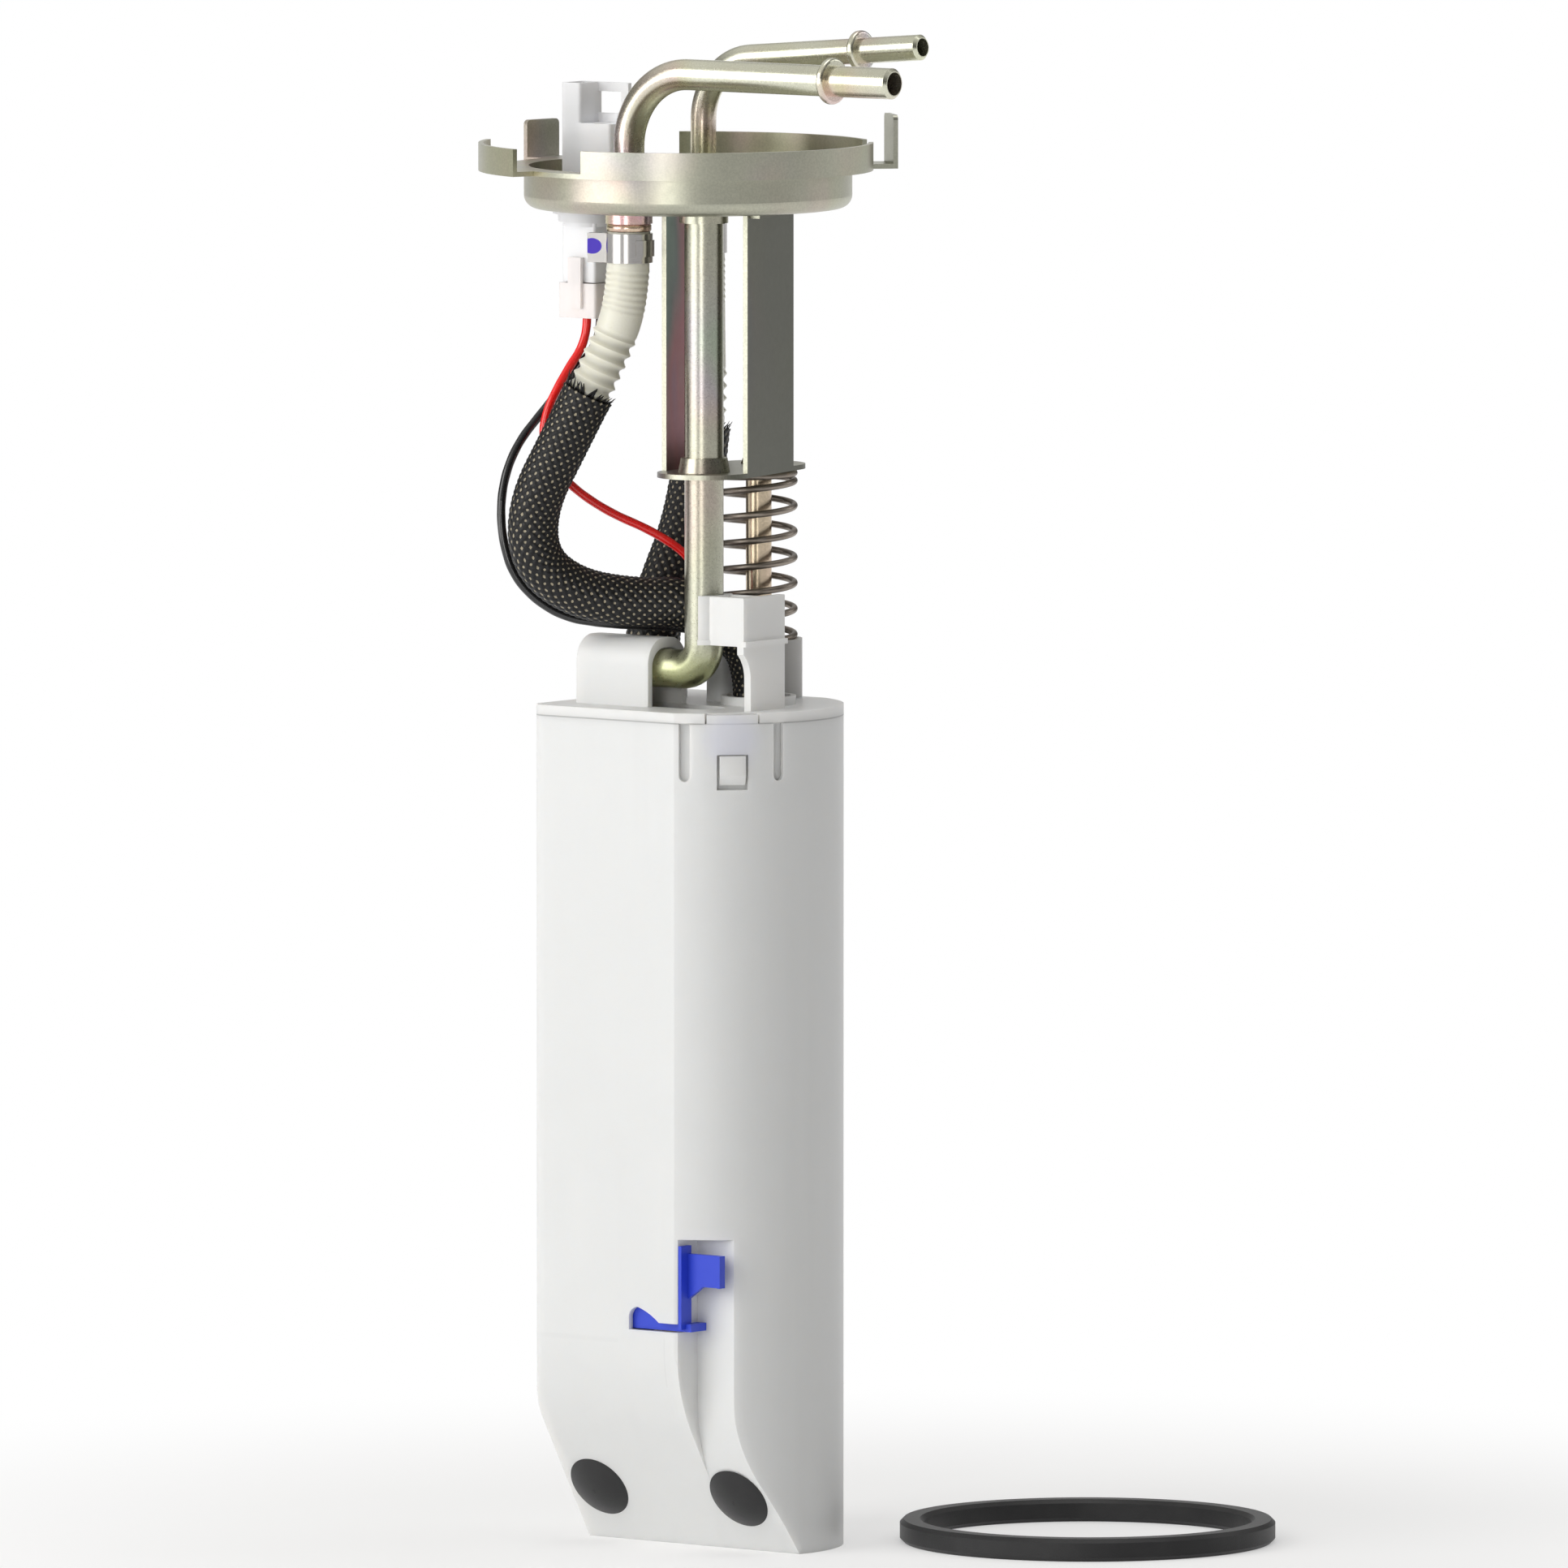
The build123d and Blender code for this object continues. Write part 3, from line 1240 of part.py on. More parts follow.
def make_pump_plug():
    """The plug that joins the leads to the pump's cap."""
    x, y = pump_at[0] + pump_plug_offset[0], pump_at[1] + pump_plug_offset[1]
    half_x, half_y = pump_plug_size[0] / 2, pump_plug_size[1] / 2
    solid = block((x - half_x, y - half_y, cap_top_z + seat_gap), (x + half_x, y + half_y, pump_plug_top_z))
    return fillet(solid.edges().filter_by(Axis.Z), 0.8)


def make_tank_seal():
    """The rubber ring that seals the flange to the tank, lying beside the module."""
    r0, r1, h, c = seal_inner_radius, seal_outer_radius, seal_height, seal_chamfer
    return turned(seal_at, [
        (r0 + c, 0), (r1 - c, 0), (r1, c), (r1, h - c), (r1 - c, h), (r0 + c, h), (r0, h - c), (r0, c)])


def make_feed_hose(radii):
    """The corrugated feed hose between the flange's nipple and the lid's fitting."""
    return bent_tube("feed_hose", feed_route, radii, hose_radius, hose_radius - hose_wall)


def make_feed_sleeve(radii):
    """The braided sleeve over the feed hose."""
    inner = hose_radius + sleeve_gap
    route = [between(feed_route[2], feed_route[3], feed_sleeve_share), *feed_route[3:]]
    return bent_tube("feed_sleeve", route, radii[2:], inner + sleeve_wall, inner)


def make_return_hose(radii):
    """The return hose, straight down from its nipple and then in to its fitting."""
    return bent_tube("return_hose", return_route, radii, hose_radius, hose_radius - hose_wall)


def make_return_sleeve(radii):
    """The braided sleeve over the return hose."""
    inner = hose_radius + sleeve_gap
    route = [between(return_route[2], return_route[3], return_sleeve_share), *return_route[3:]]
    return bent_tube("return_sleeve", route, radii[2:], inner + return_sleeve_wall, inner)


def build_all():
    """Makes every piece and writes each to its own file."""
    feed_radii = corner_radii(feed_route)
    return_radii = corner_radii(return_route)
    inner_radii = corner_radii(inner_hose_route)
    pieces = {
        "reservoir": make_reservoir(),
        "bumpers": make_bumpers(),
        "lid": make_lid(),
        "guide_tube": make_guide_tube(),
        "guide_rod": make_guide_rod(),
        "bracket": make_bracket(),
        "main_spring": make_spring(),
        "flange_pan": make_pan(),
        "feed_pipe": make_pipe("feed_pipe", feed_at, feed_radius, feed_run_rise, 0.0, feed_bend_radius,
                               feed_end_x),
        "return_pipe": make_pipe("return_pipe", return_at, return_radius, return_run_rise, return_slant,
                                 return_bend_radius, return_end_x),
        "feed_clamp": make_clamp(feed_at, feed_clamp_angle),
        "return_clamp": make_clamp(return_at, return_clamp_angle),
        "connector": make_connector(),
        "connector_terminals": make_terminals(),
        "connector_grommet": make_grommet(),
        "harness_plug": make_harness_plug(),
        "blue_latch": make_latch(),
        "feed_hose": make_feed_hose(feed_radii),
        "feed_sleeve": make_feed_sleeve(feed_radii),
        "return_hose": make_return_hose(return_radii),
        "return_sleeve": make_return_sleeve(return_radii),
        "red_lead": bent_tube("red_lead", red_route, corner_radii(red_route), wire_radius),
        "black_lead": bent_tube("black_lead", black_route, corner_radii(black_route), wire_radius),
        "feed_fitting": make_fitting(feed_fitting_at),
        "return_fitting": make_fitting(return_fitting_at),
        "inner_hose": bent_tube("inner_hose", inner_hose_route, inner_radii,
                                outlet_radius + 0.05 + inner_hose_wall, outlet_radius + 0.05),
        "drop_pipe": make_drop_pipe(),
        "jet": make_jet(),
        "inlet_valve": make_inlet_valve(),
        "pump_shell": make_pump_shell(),
        "pump_inlet_cover": make_inlet_cover(),
        "pump_outlet_plate": make_outlet_plate(),
        "impeller": make_impeller(),
        "motor_shaft": make_shaft(),
        "armature_core": make_core(),
        "armature_windings": make_windings(),
        "commutator": make_commutator(),
        "motor_magnets": make_magnets(),
        "brushes": make_brushes(),
        "brush_springs": make_brush_springs(),
        "pump_end_cap": make_end_cap(),
        "check_poppet": make_check_poppet(),
        "check_spring": make_check_spring(),
        "check_stop": make_check_stop(),
        "pump_plug": make_pump_plug(),
        "pump_holder": make_holder(),
        "upper_isolator": make_upper_isolator(),
        "lower_isolator": make_lower_isolator(),
        "pump_foot": make_pump_foot(),
        "strainer": make_strainer(),
        "strainer_neck": make_strainer_neck(),
        "tank_seal": make_tank_seal(),
    }
    os.makedirs("parts", exist_ok=True)
    for name, solid in pieces.items():
        export_step(solid, f"parts/{name}.step")


build_all()
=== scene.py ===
"""The looks of a fuel pump module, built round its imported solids.

Everything is in metres, in the frame of the solids: the origin is under the reservoir, +Z points up
and -Y points out of the reservoir's flat front. Each operator makes or finishes one kind of piece.
"""
import json
import math
import random

import bpy
import numpy as np
from bpy.props import FloatProperty, FloatVectorProperty, IntProperty, PointerProperty
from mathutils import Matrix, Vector


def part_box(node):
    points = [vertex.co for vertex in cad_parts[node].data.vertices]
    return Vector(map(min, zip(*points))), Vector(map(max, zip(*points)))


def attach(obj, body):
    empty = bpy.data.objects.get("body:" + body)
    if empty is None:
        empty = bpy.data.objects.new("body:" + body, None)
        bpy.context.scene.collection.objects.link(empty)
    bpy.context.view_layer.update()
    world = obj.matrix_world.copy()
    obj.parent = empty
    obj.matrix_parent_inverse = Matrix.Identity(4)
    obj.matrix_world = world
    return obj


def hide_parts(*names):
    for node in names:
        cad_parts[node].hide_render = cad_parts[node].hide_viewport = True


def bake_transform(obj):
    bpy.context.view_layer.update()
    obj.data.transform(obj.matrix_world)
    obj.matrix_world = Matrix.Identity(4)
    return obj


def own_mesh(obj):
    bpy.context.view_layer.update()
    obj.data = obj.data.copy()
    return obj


bl_info = {
    "name": "Fuel pump module",
    "version": (1, 0, 0),
    "blender": (4, 5, 0),
    "location": "3D View > Sidebar > Fuel pump",
    "description": "Dresses the solids of a fuel pump module and adds its hoses, sleeves, leads and springs",
    "category": "Add Mesh",
}

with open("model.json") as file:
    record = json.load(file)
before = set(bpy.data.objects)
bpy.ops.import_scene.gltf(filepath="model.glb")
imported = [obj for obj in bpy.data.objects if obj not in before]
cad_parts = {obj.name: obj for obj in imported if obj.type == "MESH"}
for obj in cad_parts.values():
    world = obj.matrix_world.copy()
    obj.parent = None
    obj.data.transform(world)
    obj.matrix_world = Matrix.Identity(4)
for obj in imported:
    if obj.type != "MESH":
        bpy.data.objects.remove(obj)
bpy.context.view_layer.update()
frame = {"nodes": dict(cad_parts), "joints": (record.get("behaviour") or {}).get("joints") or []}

FEED_ROUTE = [
    (-0.005, -0.023, 0.406), (-0.005, -0.023, 0.385), (-0.011, -0.027, 0.367), (-0.0215, -0.0335, 0.342),
    (-0.0305, -0.0385, 0.322), (-0.031, -0.0375, 0.3045), (-0.0225, -0.029, 0.2945), (-0.0085, -0.017, 0.291),
    (0.005, -0.006, 0.2915), (0.0155, 0.0025, 0.284), (0.022, 0.007, 0.273), (0.022, 0.007, 0.261),
]
RETURN_ROUTE = [
    (-0.016, 0.028, 0.406), (-0.016, 0.028, 0.380), (-0.0145, 0.027, 0.346), (-0.0165, 0.0225, 0.314),
    (-0.021, 0.0125, 0.290), (-0.022, 0.009, 0.274), (-0.022, 0.009, 0.261),
]
RED_ROUTE = [
    (-0.0286, -0.014, 0.378), (-0.0286, -0.014, 0.371), (-0.0318, -0.021, 0.361),
    (-0.0351, -0.0274, 0.348), (-0.0353, -0.027, 0.337), (-0.0298, -0.022, 0.327),
    (-0.0209, -0.0138, 0.3185), (-0.0102, -0.0048, 0.3125), (-0.0022, 0.0042, 0.3045),
    (0.0038, 0.0086, 0.290), (0.0044, 0.0085, 0.272), (0.0043, 0.0086, 0.250),
    (0.0008, 0.012, 0.215), (-0.0036, 0.015, 0.184), (-0.0036, 0.015, 0.168),
]
BLACK_ROUTE = [
    (-0.025, -0.012, 0.378), (-0.025, -0.012, 0.371), (-0.0319, -0.016, 0.3615),
    (-0.0384, -0.0224, 0.350), (-0.0436, -0.0303, 0.339), (-0.0447, -0.0362, 0.326),
    (-0.0435, -0.0378, 0.311), (-0.0393, -0.0358, 0.297), (-0.029, -0.0278, 0.2865),
    (-0.0174, -0.0168, 0.284), (-0.0065, -0.0063, 0.2835), (0.0028, 0.0024, 0.282),
    (0.0074, 0.0073, 0.2785), (0.0075, 0.0085, 0.264), (0.0075, 0.0086, 0.249),
    (0.0046, 0.012, 0.218), (0.0004, 0.015, 0.186), (0.0004, 0.015, 0.168),
]
FEED_AT = Vector((-0.005, -0.023, 0))
RETURN_AT = Vector((-0.016, 0.028, 0))
ROD_AT = Vector((0.008, 0.025, 0))
PAN_FLOOR = 0.4125
LID_SEAM = 0.2568

# Each hose's route, its length in the solids, the height where its sleeve is cut off, and the stretch of
# its length that has the large rings.
HOSES = {
    "feed": (FEED_ROUTE, 0.1985, 0.3563, (0.031, 0.058)),
    "return": (RETURN_ROUTE, 0.1479, 0.3430, (0.045, 0.060)),
}
LEADS = {"red": (RED_ROUTE, 0.2399), "black": (BLACK_ROUTE, 0.2704)}

# Distances along a hose from its upper end, and how far its wall goes in or out there.
CLAMP_AT = 0.005
CLAMP_REACH = 0.0042
CLAMP_PINCH = 0.00035
FINE_RINGS = (0.0115, 0.025)
FINE_PITCH = 0.0019
FINE_HEIGHT = 0.00013
RING_FADE = 0.002
RING_RISE = 0.00045
GROOVE_SHARE = 1.2
GROOVE_SHARPNESS = 1.4

SLEEVE_GAP = 0.00035
SLEEVE_END_GAP = 0.0008
SLEEVE_FLARE = 0.0003
SLEEVE_FLARE_REACH = 0.0018
STRAND_STEPS = 7
STRAND_FLATNESS = 2.6
CROSSING_MIDDLE = 0.62
CROSSING_LIFT = 0.38

FRAY_COUNT = 44
FRAY_ROOT = 0.0012
FRAY_REACH = (0.0008, 0.0024)
FRAY_BOW = 0.0005
FRAY_HALF_THICK = 0.00014
FRAY_HALF_WIDE = 0.00050

HOSE_STEP = 0.0004
HOSE_AROUND = 56
SLEEVE_STEP = 0.00042
LEAD_STEP = 0.0006
LEAD_AROUND = 20
LEAD_WAVINESS = 0.00002
WIRE_AROUND = 16
TURN_STEPS = 64
RING_AROUND = 96
BORE_ROW_STEP = 4
SHARP_ANGLE = math.radians(38)

SEAT_BORE = 0.0051
SEAT_RADIUS = 0.0069
SEAT_BEVEL = 0.0004
SEAT_LOW = PAN_FLOOR - 0.0064
SEAT_HIGH = PAN_FLOOR - 0.00415

CAMERA_AZIMUTH = math.radians(38.0)
CAMERA_ELEVATION = math.radians(4.9)
CAMERA_AWAY = 7.95
CAMERA_TARGET = Vector((0.0232, 0.0182, 0.2345))
SEEN_WIDTH = 0.483
SENSOR_WIDTH = 36.0
FLOOR_REACH = 12
LIGHT_TARGET = Vector((0.02, 0.01, 0.24))
BEHIND = (-0.616, 0.788, 0.0)
TO_THE_RIGHT = (0.788, 0.616, 0.0)
WHITE = (1.0, 1.0, 1.0)


def length_property(name, description, default):
    """A size that shows in the sidebar in the scene's units."""
    return FloatProperty(name=name, description=description, default=default, min=0.0, unit="LENGTH",
                         precision=5)


def count_property(name, description, default, least):
    """A whole number that shows in the sidebar."""
    return IntProperty(name=name, description=description, default=default, min=least)


def colour_property(name, description, default):
    """A colour that shows as a swatch in the sidebar."""
    return FloatVectorProperty(name=name, description=description, default=default, size=3, min=0.0, max=1.0,
                               subtype="COLOR")


class PumpSizes(bpy.types.PropertyGroup):
    """Sizes of the pieces that are made here."""

    hose_radius: length_property("Hose radius", "Outer radius of the fuel hoses", 0.0066)
    hose_bore: length_property("Hose bore", "Inner radius of the fuel hoses", 0.0051)
    ring_height: length_property("Ring height", "Height of the hose's large rings", 0.00105)
    ring_pitch: length_property("Ring pitch", "Distance between the hose's large rings", 0.0037)
    feed_sleeve_radius: length_property("Feed sleeve radius", "Outer radius of the feed hose's braid", 0.0079)
    return_sleeve_radius: length_property("Return sleeve radius", "Outer radius of the return hose's braid",
                                          0.0085)
    braid_relief: length_property("Braid relief", "How far the braid's strands stand out", 0.0007)
    braid_strands: count_property("Braid strands", "Strands each way round a sleeve", 16, 6)
    wire_radius: length_property("Lead radius", "Outer radius of the two leads", 0.00135)
    spring_radius: length_property("Spring radius", "Radius of the middle of the spring's wire", 0.011)
    spring_wire: length_property("Spring wire", "Thickness of the spring's wire", 0.0021)
    spring_turns: count_property("Spring turns", "Turns of the spring, closed ends included", 10, 3)
    check_wire: length_property("Check spring wire", "Thickness of the valve's spring wire", 0.0004)
    check_turns: count_property("Check spring turns", "Turns of the valve's spring", 6, 4)


class PumpColours(bpy.types.PropertyGroup):
    """Colours of the finishes."""

    plastic: colour_property("Plastic", "Moulded reservoir and lid", (0.86, 0.855, 0.84))
    clear: colour_property("Clear plastic", "Electrical connector", (0.89, 0.89, 0.91))
    plug: colour_property("Plug", "Harness plug under the connector", (0.90, 0.84, 0.83))
    zinc: colour_property("Zinc", "Passivated steel", (0.58, 0.58, 0.47))
    stainless: colour_property("Stainless", "Hose clamps and the pump's can", (0.66, 0.64, 0.62))
    spring: colour_property("Spring", "Oiled spring wire", (0.27, 0.235, 0.20))
    hose: colour_property("Hose", "Translucent fuel hose", (0.87, 0.85, 0.72))
    braid: colour_property("Braid", "Strands of the sleeves", (0.009, 0.009, 0.010))
    # The hose's colour between the strands, darkened as painted shade.
    braid_gap: colour_property("Braid gap", "Hose seen between the strands", (0.40, 0.35, 0.25))
    red: colour_property("Red lead", "Insulation of the supply lead", (0.90, 0.010, 0.008))
    black: colour_property("Black lead", "Insulation of the ground lead", (0.010, 0.010, 0.011))
    latch: colour_property("Latch", "Sliding lock", (0.025, 0.06, 0.62))
    rubber: colour_property("Rubber", "Bumpers and the tank seal", (0.010, 0.010, 0.011))


class Value:
    """A number socket, so that shader sums can be written as plain expressions."""

    def __init__(self, tree, socket):
        self.tree = tree
        self.socket = socket

    def __add__(self, other):
        return self.tree.sum("ADD", self, other)

    def __sub__(self, other):
        return self.tree.sum("SUBTRACT", self, other)

    def __rsub__(self, other):
        return self.tree.sum("SUBTRACT", other, self)

    def __mul__(self, other):
        return self.tree.sum("MULTIPLY", self, other)

    def __pow__(self, other):
        return self.tree.sum("POWER", self, other)

    def __gt__(self, other):
        return self.tree.sum("GREATER_THAN", self, other)

    def __abs__(self):
        return self.tree.sum("ABSOLUTE", self)

    __radd__ = __add__
    __rmul__ = __mul__


class Shading:
    """A shader tree and the one way of adding nodes to it."""

    def __init__(self, tree, coordinates):
        self.tree = tree
        self.place = self.node("ShaderNodeTexCoord").outputs[coordinates]

    def feed(self, socket, value):
        """Links a socket or value to a socket, or sets the socket's own number or colour."""
        if isinstance(value, Value):
            value = value.socket
        if isinstance(value, bpy.types.NodeSocket):
            self.tree.links.new(value, socket)
        elif hasattr(socket.default_value, "__len__") and len(value) == 3 and len(socket.default_value) == 4:
            socket.default_value = (*value, 1.0)
        else:
            socket.default_value = value

    def node(self, kind, settings=None, inputs=None):
        """Adds a node: its settings first, a ramp's stops among them, and then its inputs."""
        made = self.tree.nodes.new(kind)
        for key, value in (settings or {}).items():
            if key == "stops":
                ramp = made.color_ramp
                while len(ramp.elements) < len(value):
                    ramp.elements.new(0.5)
                for element, (position, colour) in zip(ramp.elements, value):
                    element.position = position
                    element.color = (*colour, 1.0)
            else:
                setattr(made, key, value)
        for key, value in (inputs or {}).items():
            self.feed(made.inputs[key], value)
        return made

    def sum(self, operation, *values):
        """One Math node."""
        made = self.node("ShaderNodeMath", {"operation": operation}, dict(enumerate(values)))
        return Value(self, made.outputs[0])

    def stretched(self, stretch):
        """The object's own coordinates, scaled along its axes."""
        made = self.node("ShaderNodeVectorMath", {"operation": "MULTIPLY"}, {0: self.place, 1: stretch})
        return made.outputs[0]

    def noise(self, scale, detail, stretch=None, roughness=0.5):
        """Noise from 0 to 1 whose grain is about 1 / scale metres."""
        where = self.stretched(stretch) if stretch else self.place
        made = self.node("ShaderNodeTexNoise", None,
                         {"Vector": where, "Scale": scale, "Detail": detail, "Roughness": roughness})
        return Value(self, made.outputs[0])

    def cells(self, scale):
        """Small round cells, 0 at their middles."""
        made = self.node("ShaderNodeTexVoronoi", None, {"Vector": self.place, "Scale": scale})
        return Value(self, made.outputs[0])

    def axes(self):
        """The three coordinates as values."""
        return [Value(self, out) for out in self.node("ShaderNodeSeparateXYZ", None, {0: self.place}).outputs]

    def away_from(self, place):
        """How far the surface is from a place, counted over the axes that the place has."""
        squares = [(axis - at) ** 2.0 for axis, at in zip(self.axes(), place)]
        return self.sum("SQRT", sum(squares[1:], squares[0]))

    def stored(self, name):
        """A number that the mesh stores at its points."""
        return Value(self, self.node("ShaderNodeAttribute", {"attribute_name": name}).outputs["Fac"])

    def steps(self, value, low, high):
        """0 below low, 1 above high and smooth between them."""
        made = self.node("ShaderNodeMapRange", {"interpolation_type": "SMOOTHSTEP"},
                         {"Value": value, "From Min": low, "From Max": high})
        return Value(self, made.outputs[0])

    def band(self, value, middle, half, soft):
        """1 within half of middle, falling to 0 over soft."""
        return 1.0 - self.steps(abs(value - middle), half, half + soft)

    def mix(self, factor, first, second):
        """A colour between two."""
        made = self.node("ShaderNodeMix", {"data_type": "RGBA"}, {0: factor, 6: first, 7: second})
        return made.outputs[2]

    def tint(self, colour, value):
        """A colour times a number."""
        scaled = self.node("ShaderNodeVectorMath", {"operation": "SCALE"}, {0: colour})
        self.feed(scaled.inputs["Scale"], value)
        return scaled.outputs[0]

    def ramp(self, value, stops):
        """A colour read from a ramp."""
        return self.node("ShaderNodeValToRGB", {"stops": stops}, {0: value}).outputs[0]

    def dot(self, vector, axis):
        """How far a vector goes along an axis."""
        made = self.node("ShaderNodeVectorMath", {"operation": "DOT_PRODUCT"}, {0: vector, 1: axis})
        return Value(self, made.outputs["Value"])

    def seen_rays(self):
        """1 for what the eye sees, and 1 for what a mirror or a clear piece sees."""
        rays = self.node("ShaderNodeLightPath").outputs
        eye, mirror, clear = (Value(self, rays[name]) for name in
                              ("Is Camera Ray", "Is Glossy Ray", "Is Transmission Ray"))
        return eye, self.sum("MAXIMUM", mirror, clear)

    def show(self, factor, first, second, output):
        """Ends the tree with a mix of two shaders."""
        both = self.node("ShaderNodeMixShader", None, {0: factor, 1: first, 2: second})
        self.tree.links.new(both.outputs[0], self.tree.nodes[output].inputs["Surface"])


class Finish(Shading):
    """A material with its shader."""

    def __init__(self, name):
        self.material = bpy.data.materials.new(name)
        self.material.use_nodes = True
        super().__init__(self.material.node_tree, "Object")
        self.shader = self.tree.nodes["Principled BSDF"]

    def set(self, **values):
        """Sets the shader's sockets; an underscore in a name stands for a space."""
        for name, value in values.items():
            self.feed(self.shader.inputs[name.replace("_", " ")], value)
        return self

    def base(self):
        """The colour that the shader has so far."""
        return self.shader.inputs["Base Color"].links[0].from_socket

    def relief(self, height, depth):
        """A bump in metres that feeds the shader's normal."""
        made = self.node("ShaderNodeBump", None, {"Height": height, "Distance": depth, "Strength": 1.0})
        return self.set(Normal=made.outputs[0])


def shade(colour, factor):
    """A plain colour made lighter or darker."""
    return tuple(min(1.0, channel * factor) for channel in colour)


def moulded(name, colour, roughness, glow):
    """Satin moulded plastic with faint flow lines, handling marks and a fine skin."""
    made = Finish(name)
    cloud = made.noise(22.0, 2.0)
    flow = made.noise(60.0, 3.0, (1.0, 1.0, 0.06))
    marks = made.noise(900.0, 4.0)
    base = made.mix(cloud, shade(colour, 0.965), shade(colour, 1.02))
    base = made.mix(made.steps(flow, 0.55, 0.75) * 0.35, base, shade(colour, 0.93))
    base = made.mix(made.steps(marks, 0.66, 0.80) * 0.10, base, shade(colour, 0.80))
    made.set(Base_Color=base, Roughness=roughness - 0.05 + 0.12 * marks + 0.04 * cloud)
    made.set(Subsurface_Weight=glow, Subsurface_Radius=(0.010, 0.0088, 0.0078), Subsurface_Scale=1.0,
             IOR=1.5)
    return made.relief(made.noise(2600.0, 2.0) * 0.6 + made.noise(260.0, 2.0) * 0.4, 0.00004)


def seamed(made, base, colour):
    """Darkens a base colour where the lid meets the pot."""
    return made.mix(made.band(made.axes()[2], LID_SEAM, 0.00012, 0.00018) * 0.55, base, shade(colour, 0.45))


def reservoir_plastic(colour):
    """The pot's plastic: a dark line at the lid's seam, painted shade lines beside two faint rails below the
    latch and under a small step at the slope's top, and a cool tint by the window.
    """
    made = moulded("reservoir_plastic", colour, 0.34, 0.45)
    x, y, z = made.axes()
    base = made.base()
    base = seamed(made, base, colour)
    window = (0.039, -0.028, 0.252)
    near = 1.0 - made.steps(made.away_from(window), 0.004, 0.012)
    base = made.mix(near * 0.55, base, (0.74, 0.74, 0.90))
    # Painted shade: two dark vertical lines below the latch, in place of the shade at the edges of two faint
    # rails.
    lines = made.band(x, 0.020, 0.00012, 0.0002) + made.band(x, 0.028, 0.00012, 0.0002)
    on_slope = made.steps(z, 0.035, 0.05) * (1.0 - made.steps(z, 0.066, 0.069))
    base = made.mix(lines * on_slope * (0.0 - y > 0.036) * 0.25, base, shade(colour, 0.80))
    # Painted shadow: a faint dark line under a small step at the top of the slope.
    slope_top_shadow = made.band(z, 0.0655, 0.0003, 0.0008) * (0.0 - x > -0.002)
    base = made.mix(slope_top_shadow * 0.16, base, shade(colour, 0.85))
    return made.set(Base_Color=base)


def lid_plastic(colour):
    """The lid's plastic: painted shade on the spring's cup, with a dark line at the seam."""
    made = moulded("lid_plastic", colour, 0.36, 0.45)
    above = made.steps(made.axes()[2], 0.2602, 0.2606)
    # Painted shade: the spring's cup is greyed where it lies in shade.
    cup_shade = (1.0 - made.steps(made.away_from(ROD_AT.xy), 0.0136, 0.0142)) * above
    base = made.mix(cup_shade * 0.85, made.base(), (0.42, 0.405, 0.385))
    return made.set(Base_Color=seamed(made, base, colour))


def passivated(name, colour, dark, tints, roughness, sand=0.00001, speckle=0.2):
    """Zinc plating with its yellow-green film, pink and violet tints and a sandy satin grain."""
    made = Finish(name)
    broad = made.noise(26.0, 2.0)
    film = made.noise(34.0, 2.0, (1.0, 1.0, 0.45))
    grain = made.noise(1500.0, 3.0, None, 0.62)
    marks = made.noise(420.0, 4.0, None, 0.65)
    base = made.mix(broad, shade(colour, 0.74 * dark), shade(colour, 1.14 * dark))
    rainbow = made.ramp(film, [
        (0.28, (0.38, 0.50, 0.28)), (0.40, (0.64, 0.66, 0.34)), (0.50, (0.72, 0.60, 0.40)),
        (0.58, (0.76, 0.46, 0.48)), (0.66, (0.52, 0.40, 0.62)), (0.76, (0.40, 0.56, 0.44))])
    tinted = made.steps(made.noise(22.0, 2.0, (1.0, 1.0, 0.7)), 0.42, 0.66) * tints
    base = made.mix(tinted, base, made.tint(rainbow, 0.95 * dark))
    base = made.tint(base, 1.0 - speckle / 2 + speckle * made.steps(grain, 0.30, 0.70))
    base = made.mix(made.steps(marks, 0.68, 0.78) * speckle * 1.4, base, shade(colour, 0.35))
    made.set(Base_Color=base, Metallic=0.94, Roughness=roughness - 0.03 + 0.10 * grain + 0.12 * (marks - 0.5))
    return made.relief(grain + 0.4 * made.noise(600.0, 2.0), sand)


def guide_zinc(colour):
    """The guide tube's plating: finely sanded, and olive where its foot bends into the hood."""
    made = passivated("guide_zinc", colour, 0.86, 0.40, 0.27, 0.000009, 0.24)
    low = 1.0 - made.steps(made.axes()[2] + 0.006 * made.noise(90.0, 2.0), 0.272, 0.286)
    return made.set(Base_Color=made.mix(low * 0.7, made.base(), (0.44, 0.47, 0.20)))


